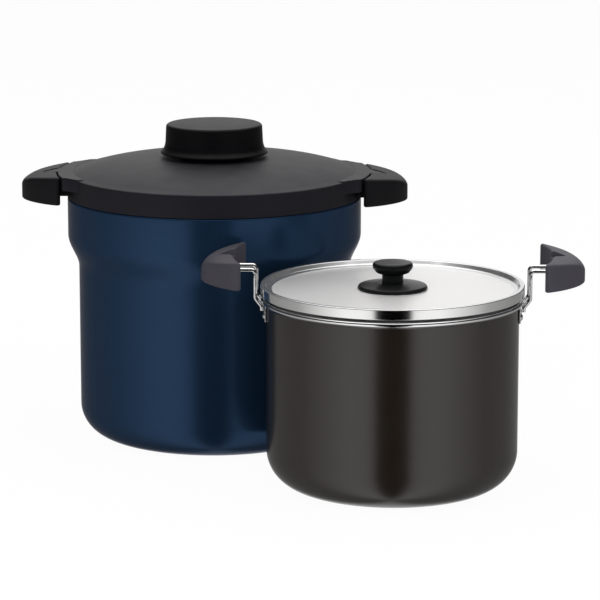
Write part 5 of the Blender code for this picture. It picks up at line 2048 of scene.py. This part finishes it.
    def wire(self, side: Side) -> None:
        """A handle wire: up from the plate, over the rim, out into the grip and back.

        Args:
            side: the side that it is on.
        """
        size = self.size
        plate = self.outer_wall + size.plate_gap + size.plate
        end = math.sqrt((plate + size.wire + size.gap) ** 2 - size.leg**2)
        leg = [(end, size.wire_end), (end, size.weld_top), (size.riser, size.riser_bottom),
               (size.riser, size.run), (size.loop, size.run)]
        there = [Vector((side.value * x, size.leg, z)) for x, z in leg]
        back = [Vector((spot.x, -spot.y, spot.z)) for spot in reversed(there)]
        wire = bent_rod(f"handle_wire_{side.word}", there + back, size.wire, size.bend, self.at)
        self.finish_piece(wire, [self.palette.wire], f"pot_wire_{side.word}")

    def grip(self, side: Side) -> None:
        """A resin grip, moulded round the loop of its wire.

        Args:
            side: the side that it is on.
        """
        size = self.size
        node = f"pot_grip_{side.word}"
        low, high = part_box(node)
        tip = max(abs(low.x - self.at.x), abs(high.x - self.at.x))
        form = GripForm(size.grip_inner, tip, (high.y - low.y) / 2, low.z, high.z, size.crown_drop,
                        notch_length=size.notch_length, notch_floor=high.z - size.notch_depth)
        grip = form.build(f"resin_grip_{side.word}", side, self.at)
        self.finish_piece(grip, [self.palette.grip], node)

    def build(self) -> None:
        """Makes the pot's pieces."""
        self.vessel()
        self.rivets()
        for side in Side:
            self.bracket(side)
            self.wire(side)
            self.grip(side)


class PotLid(SubAssembly):
    """The pot's lid: pressed bright sheet with a raised ring, and its round knob."""

    body = Body.POT_LID
    axis_node = "pot_body"

    @dataclass
    class Sizes:
        """Sizes of the lid that its boxes don't give."""

        sheet: float = 0.0006
        panel_round: float = 0.0016
        foot_round: float = 0.0020
        crest_round: float = 0.0012
        shelf_round: float = 0.0007
        spigot_round: float = 0.0010
        ring_round: float = 0.0009
        ring_width: float = 0.0034
        wall_foot: float = 0.0056
        wall_foot_rise: float = 0.0009
        panel_edge: float = 0.0088
        panel_drop: float = 0.0044
        shelf: float = 0.1543
        shelf_rise: float = 0.0020
        spigot: float = 0.0985
        hole: float = 0.0023
        base_edge: float = 0.0022
        base_top: float = 0.0130
        neck: float = 0.0085
        neck_height: float = 0.0075
        neck_draft: float = 0.0006
        neck_round: float = 0.0014
        head_round: float = 0.0036
        head_fall: float = 0.0004
        head_face: float = 0.97
        cheek_round: float = 0.003
        chin: float = 0.80
        base_rise: float = 0.006
        edge_rise: float = 1.35
        edge_round: float = 0.8
        foot_share: float = 0.4
        screw_head: float = 0.58
        screw_shank: float = 0.52

    size = Sizes()

    def panel(self) -> None:
        """The pressed sheet: satin panel, a raised ring whose darker steel is painted shade, and a polished
        band, shelf and spigot.
        """
        size = self.size
        low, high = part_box("pot_lid_panel")
        band = (high.x - low.x) / 2
        ring = band - size.ring_width
        floor = high.z - size.panel_drop
        corners = [
            Corner(size.hole, floor),
            Corner(band - size.panel_edge, floor, size.panel_round),
            Corner(band - size.wall_foot, floor + size.wall_foot_rise, size.foot_round),
            Corner(ring, high.z, size.crest_round),
            Corner(band, high.z, size.ring_round),
            Corner(band, size.shelf + size.shelf_rise, size.shelf_round),
            Corner(size.spigot, size.shelf, size.spigot_round),
            Corner(size.spigot, low.z),
        ]

        def zone(radius: float, height: float) -> int:
            """Tells the lid's finishes apart.

            Args:
                radius: distance of a stretch from the axis.
                height: its height.

            Returns:
                0 for the panel, 1 for the raised ring, whose darker steel is painted shade, and 2 for what
                lies outside and below it.
            """
            if radius > ring + size.sheet and height < high.z - size.ring_round:
                return 2
            return 1 if radius > band - size.panel_edge else 0

        panel = turned("pressed_lid", sheet(corners, size.sheet), self.at, closed=True, zone=zone)
        finishes = [self.palette.panel, self.palette.crest, self.palette.polished]
        self.finish_piece(panel, finishes, "pot_lid_panel")

    def knob_base(self) -> None:
        """The round foot of the knob, with a soft edge and a gently rising top."""
        size = self.size
        low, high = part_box("pot_knob_base")
        radius = (high.x - low.x) / 2
        edge = size.base_edge
        path = rounded([
            Corner(size.hole, high.z),
            Corner(size.base_top, high.z, size.base_rise),
            Corner(radius - edge / 2, low.z + edge * size.edge_rise, edge * size.edge_round),
            Corner(radius, low.z + edge * size.foot_share, edge * size.foot_share),
            Corner(radius - edge * size.foot_share / 2, low.z),
            Corner(size.hole, low.z),
        ], closed=True)
        base = turned("knob_foot", path, self.at, FINE_TURN // 2, closed=True)
        self.finish_piece(base, [self.palette.knob], "pot_knob_base")

    def knob_head(self) -> None:
        """The knob's head: a neck that widens into a flat, round-edged top."""
        size = self.size
        low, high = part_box("pot_knob_head")
        radius = (high.x - low.x) / 2
        under = low.z + size.neck_height
        path = rounded([
            Corner(0.0, high.z),
            Corner(radius * size.head_face, high.z - size.head_fall, size.head_round),
            Corner(radius, (under + high.z) / 2, size.cheek_round),
            Corner(radius * size.chin, under, size.cheek_round),
            Corner(size.neck, under - size.neck_draft, size.neck_round),
            Corner(size.neck, low.z),
            Corner(0.0, low.z),
        ])
        head = turned("knob_head", path, self.at, FINE_TURN // 2)
        self.finish_piece(head, [self.palette.knob], "pot_knob_head")

    def fastening(self) -> None:
        """The screw and washer under the lid."""
        size = self.size
        low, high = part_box("pot_knob_screw")
        middle = (low + high) / 2
        radius = (high.x - low.x) / 2
        form = CrossScrew(radius, radius * size.screw_head, radius * size.screw_shank, high.z - low.z)
        screw = form.build("knob_screw", Vector((middle.x, middle.y, low.z)))
        self.finish_piece(screw, [self.palette.screw], "pot_knob_screw")
        low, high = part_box("pot_knob_washer")
        outer = (high.x - low.x) / 2
        thick = high.z - low.z
        path = rounded([
            Corner(size.hole, high.z),
            Corner(outer, high.z, thick / 3),
            Corner(outer, low.z, thick / 3),
            Corner(size.hole, low.z),
        ], closed=True)
        washer = turned("knob_washer", path, self.at, SMALL_TURN, closed=True)
        self.finish_piece(washer, [self.palette.screw], "pot_knob_washer")

    def build(self) -> None:
        """Makes the lid's pieces."""
        self.panel()
        self.knob_base()
        self.knob_head()
        self.fastening()


HALF_TURN = 180
WHITE = (1.0, 1.0, 1.0, 1.0)


@dataclass(frozen=True)
class SoftBox:
    """A rectangular lamp that looks at the set.

    Args:
        name: its name.
        place: its middle.
        width: its width.
        height: its height.
        power: its power in watts.
        in_gloss: whether gloss shows it.
    """

    name: str
    place: tuple[float, float, float]
    width: float
    height: float
    power: float
    in_gloss: bool


@dataclass
class Studio:
    """White floor and background, three soft boxes, the room that gloss shows, and the camera.

    The room has a low band round the set, and walls above it. Each is given by pairs of degrees away
    from its dark gap in front of the set, and the level of white there. The horizon and the ceiling are
    the upward parts of a direction between which the band gives way to the walls, and the walls to the
    top. The yaw and the pitch are radians to the right and down, and the lens and sensor millimetres.
    """

    eye: tuple[float, float, float] = (0.0842, -2.4983, 0.6400)
    yaw: float = -0.0317
    pitch: float = 0.2012
    lens: float = 184.6
    sensor: float = 36.0
    sight: float = 200.0
    aim: tuple[float, float, float] = (0.0, 0.0, 0.12)
    floor_half: float = 40.0
    floor_tone: float = 0.86
    floor_roughness: float = 0.9
    floor_glow: float = 0.96
    ambient: float = 0.42
    gap_bearing: float = 0.014
    horizon: Point = (-0.07, -0.02)
    ceiling: Point = (0.64, 0.86)
    ceiling_level: float = 0.90
    low_levels: tuple[Point, ...] = (
        (0, 0.0), (14, 0.0), (18, 0.9), (26, 1.0), (42, 1.0),
        (62, 0.74), (90, 0.36), (130, 0.25), (162, 0.25), (175, 1.0),
    )
    room_levels: tuple[Point, ...] = ((0, 0.02), (145, 0.04), (168, 1.0), (180, 1.0))
    lamps: tuple[SoftBox, ...] = (
        SoftBox("left_box", (-1.9, -2.2, 1.5), 1.1, 1.8, 34.0, in_gloss=False),
        SoftBox("right_box", (2.0, -2.0, 1.5), 1.1, 1.8, 34.0, in_gloss=False),
        SoftBox("top_box", (0.0, 0.5, 2.6), 3.6, 3.6, 46.0, in_gloss=True),
    )

    def camera(self) -> None:
        """Sets up the camera at the photograph's angle."""
        data = bpy.data.cameras.new("camera")
        data.lens = self.lens
        data.sensor_width = self.sensor
        data.clip_end = self.sight
        camera = bpy.data.objects.new("camera", data)
        bpy.context.scene.collection.objects.link(camera)
        ahead = Vector((
            math.sin(self.yaw) * math.cos(self.pitch),
            math.cos(self.yaw) * math.cos(self.pitch),
            -math.sin(self.pitch),
        ))
        camera.location = self.eye
        camera.rotation_mode = "QUATERNION"
        camera.rotation_quaternion = ahead.to_track_quat("-Z", "Y")
        bpy.context.scene.camera = camera

    def backdrop_rays(self, tree: Tree) -> Socket:
        """Tells the rays that see the plain background from the rest.

        Args:
            tree: the tree that asks.

        Returns:
            1 for camera, glossy and transmission rays, 0 for others.
        """
        path = tree.add("LightPath")
        seen = tree.maths("ADD", path.outputs["Is Camera Ray"], path.outputs["Is Glossy Ray"])
        return tree.maths("ADD", seen, path.outputs["Is Transmission Ray"], clamp=True)

    def surround(self, tree: Tree) -> Socket:
        """What gloss shows of the studio: white behind and above, and a dark room with a gap in front.

        Args:
            tree: the world's tree.

        Returns:
            The level in a ray's direction.
        """
        parts = tree.add("SeparateXYZ", None, Vector=tree.add("TexCoord").outputs["Generated"])
        x, y, z = parts.outputs[0], parts.outputs[1], parts.outputs[2]
        bearing = tree.maths("ARCTAN2", x, tree.maths("MULTIPLY", y, -1.0))
        offset = tree.maths("ABSOLUTE", tree.maths("SUBTRACT", bearing, self.gap_bearing))
        turn = tree.maths("DIVIDE", offset, math.pi)
        low = tree.ramp(turn, [(degrees / HALF_TURN, level) for degrees, level in self.low_levels])
        room = tree.ramp(turn, [(degrees / HALF_TURN, level) for degrees, level in self.room_levels])
        lower = tree.blend(tree.spread(z, *self.horizon), low, room)
        return tree.blend(tree.spread(z, *self.ceiling), lower, (*[self.ceiling_level] * 3, 1.0))

    def world(self) -> None:
        """White background, and a softer white that lights the set from all round."""
        world = bpy.data.worlds.new("studio")
        world.use_nodes = True
        bpy.context.scene.world = world
        tree = Tree(world.node_tree)
        background = world.node_tree.nodes["Background"]
        strength = tree.spread(self.backdrop_rays(tree), 0.0, 1.0, self.ambient, 1.0)
        tree.feed(background.inputs["Strength"], strength)
        glossy = tree.add("LightPath").outputs["Is Glossy Ray"]
        tree.feed(background.inputs["Color"], tree.blend(glossy, WHITE, self.surround(tree)))

    def floor(self) -> None:
        """The white floor, which fades into the background and keeps a soft shadow."""
        half = self.floor_half
        mesh = bmesh.new()
        signs = ((-1, -1), (1, -1), (1, 1), (-1, 1))
        mesh.faces.new([mesh.verts.new((x * half, y * half, 0.0)) for x, y in signs])
        floor = new_object("studio_floor", mesh)
        material = bpy.data.materials.new("studio_floor")
        material.use_nodes = True
        tree = Tree(material.node_tree)
        shader = material.node_tree.nodes["Principled BSDF"]
        shader.inputs["Base Color"].default_value = (*[self.floor_tone] * 3, 1.0)
        shader.inputs["Roughness"].default_value = self.floor_roughness
        shader.inputs["Specular IOR Level"].default_value = 0.0
        glow = tree.add("Emission", None, Color=WHITE, Strength=1.0)
        share = tree.maths("MULTIPLY", self.backdrop_rays(tree), self.floor_glow)
        mixed = tree.add("MixShader", None, i0=share, i1=shader.outputs[0], i2=glow.outputs[0])
        output = material.node_tree.nodes["Material Output"]
        tree.feed(output.inputs["Surface"], mixed.outputs[0])
        floor.data.materials.append(material)
        floor.visible_glossy = False

    def lights(self) -> None:
        """Soft boxes to the front left and the front right, which gloss doesn't show, and above."""
        for box in self.lamps:
            data = bpy.data.lights.new(box.name, "AREA")
            data.shape = "RECTANGLE"
            data.size = box.width
            data.size_y = box.height
            data.energy = box.power
            lamp = bpy.data.objects.new(box.name, data)
            bpy.context.scene.collection.objects.link(lamp)
            lamp.location = box.place
            lamp.visible_glossy = box.in_gloss
            aim = Vector(self.aim) - Vector(box.place)
            lamp.rotation_mode = "QUATERNION"
            lamp.rotation_quaternion = aim.to_track_quat("-Z", "Y")

    def build(self) -> None:
        """Sets the stage."""
        bpy.context.scene.view_settings.view_transform = "Standard"
        self.camera()
        self.world()
        self.floor()
        self.lights()
        LOG.info("studio ready")


def main() -> None:
    """Builds the sub-assemblies in order and dresses the stage."""
    logging.basicConfig(level=logging.INFO, format="%(name)s: %(message)s")
    palette = Palette()
    for assembly in (VacuumVessel, VesselLid, CookingPot, PotLid):
        assembly(palette).build()
        LOG.info("%s done", assembly.__name__)
    Studio().build()


if __name__ == "__main__":
    main()
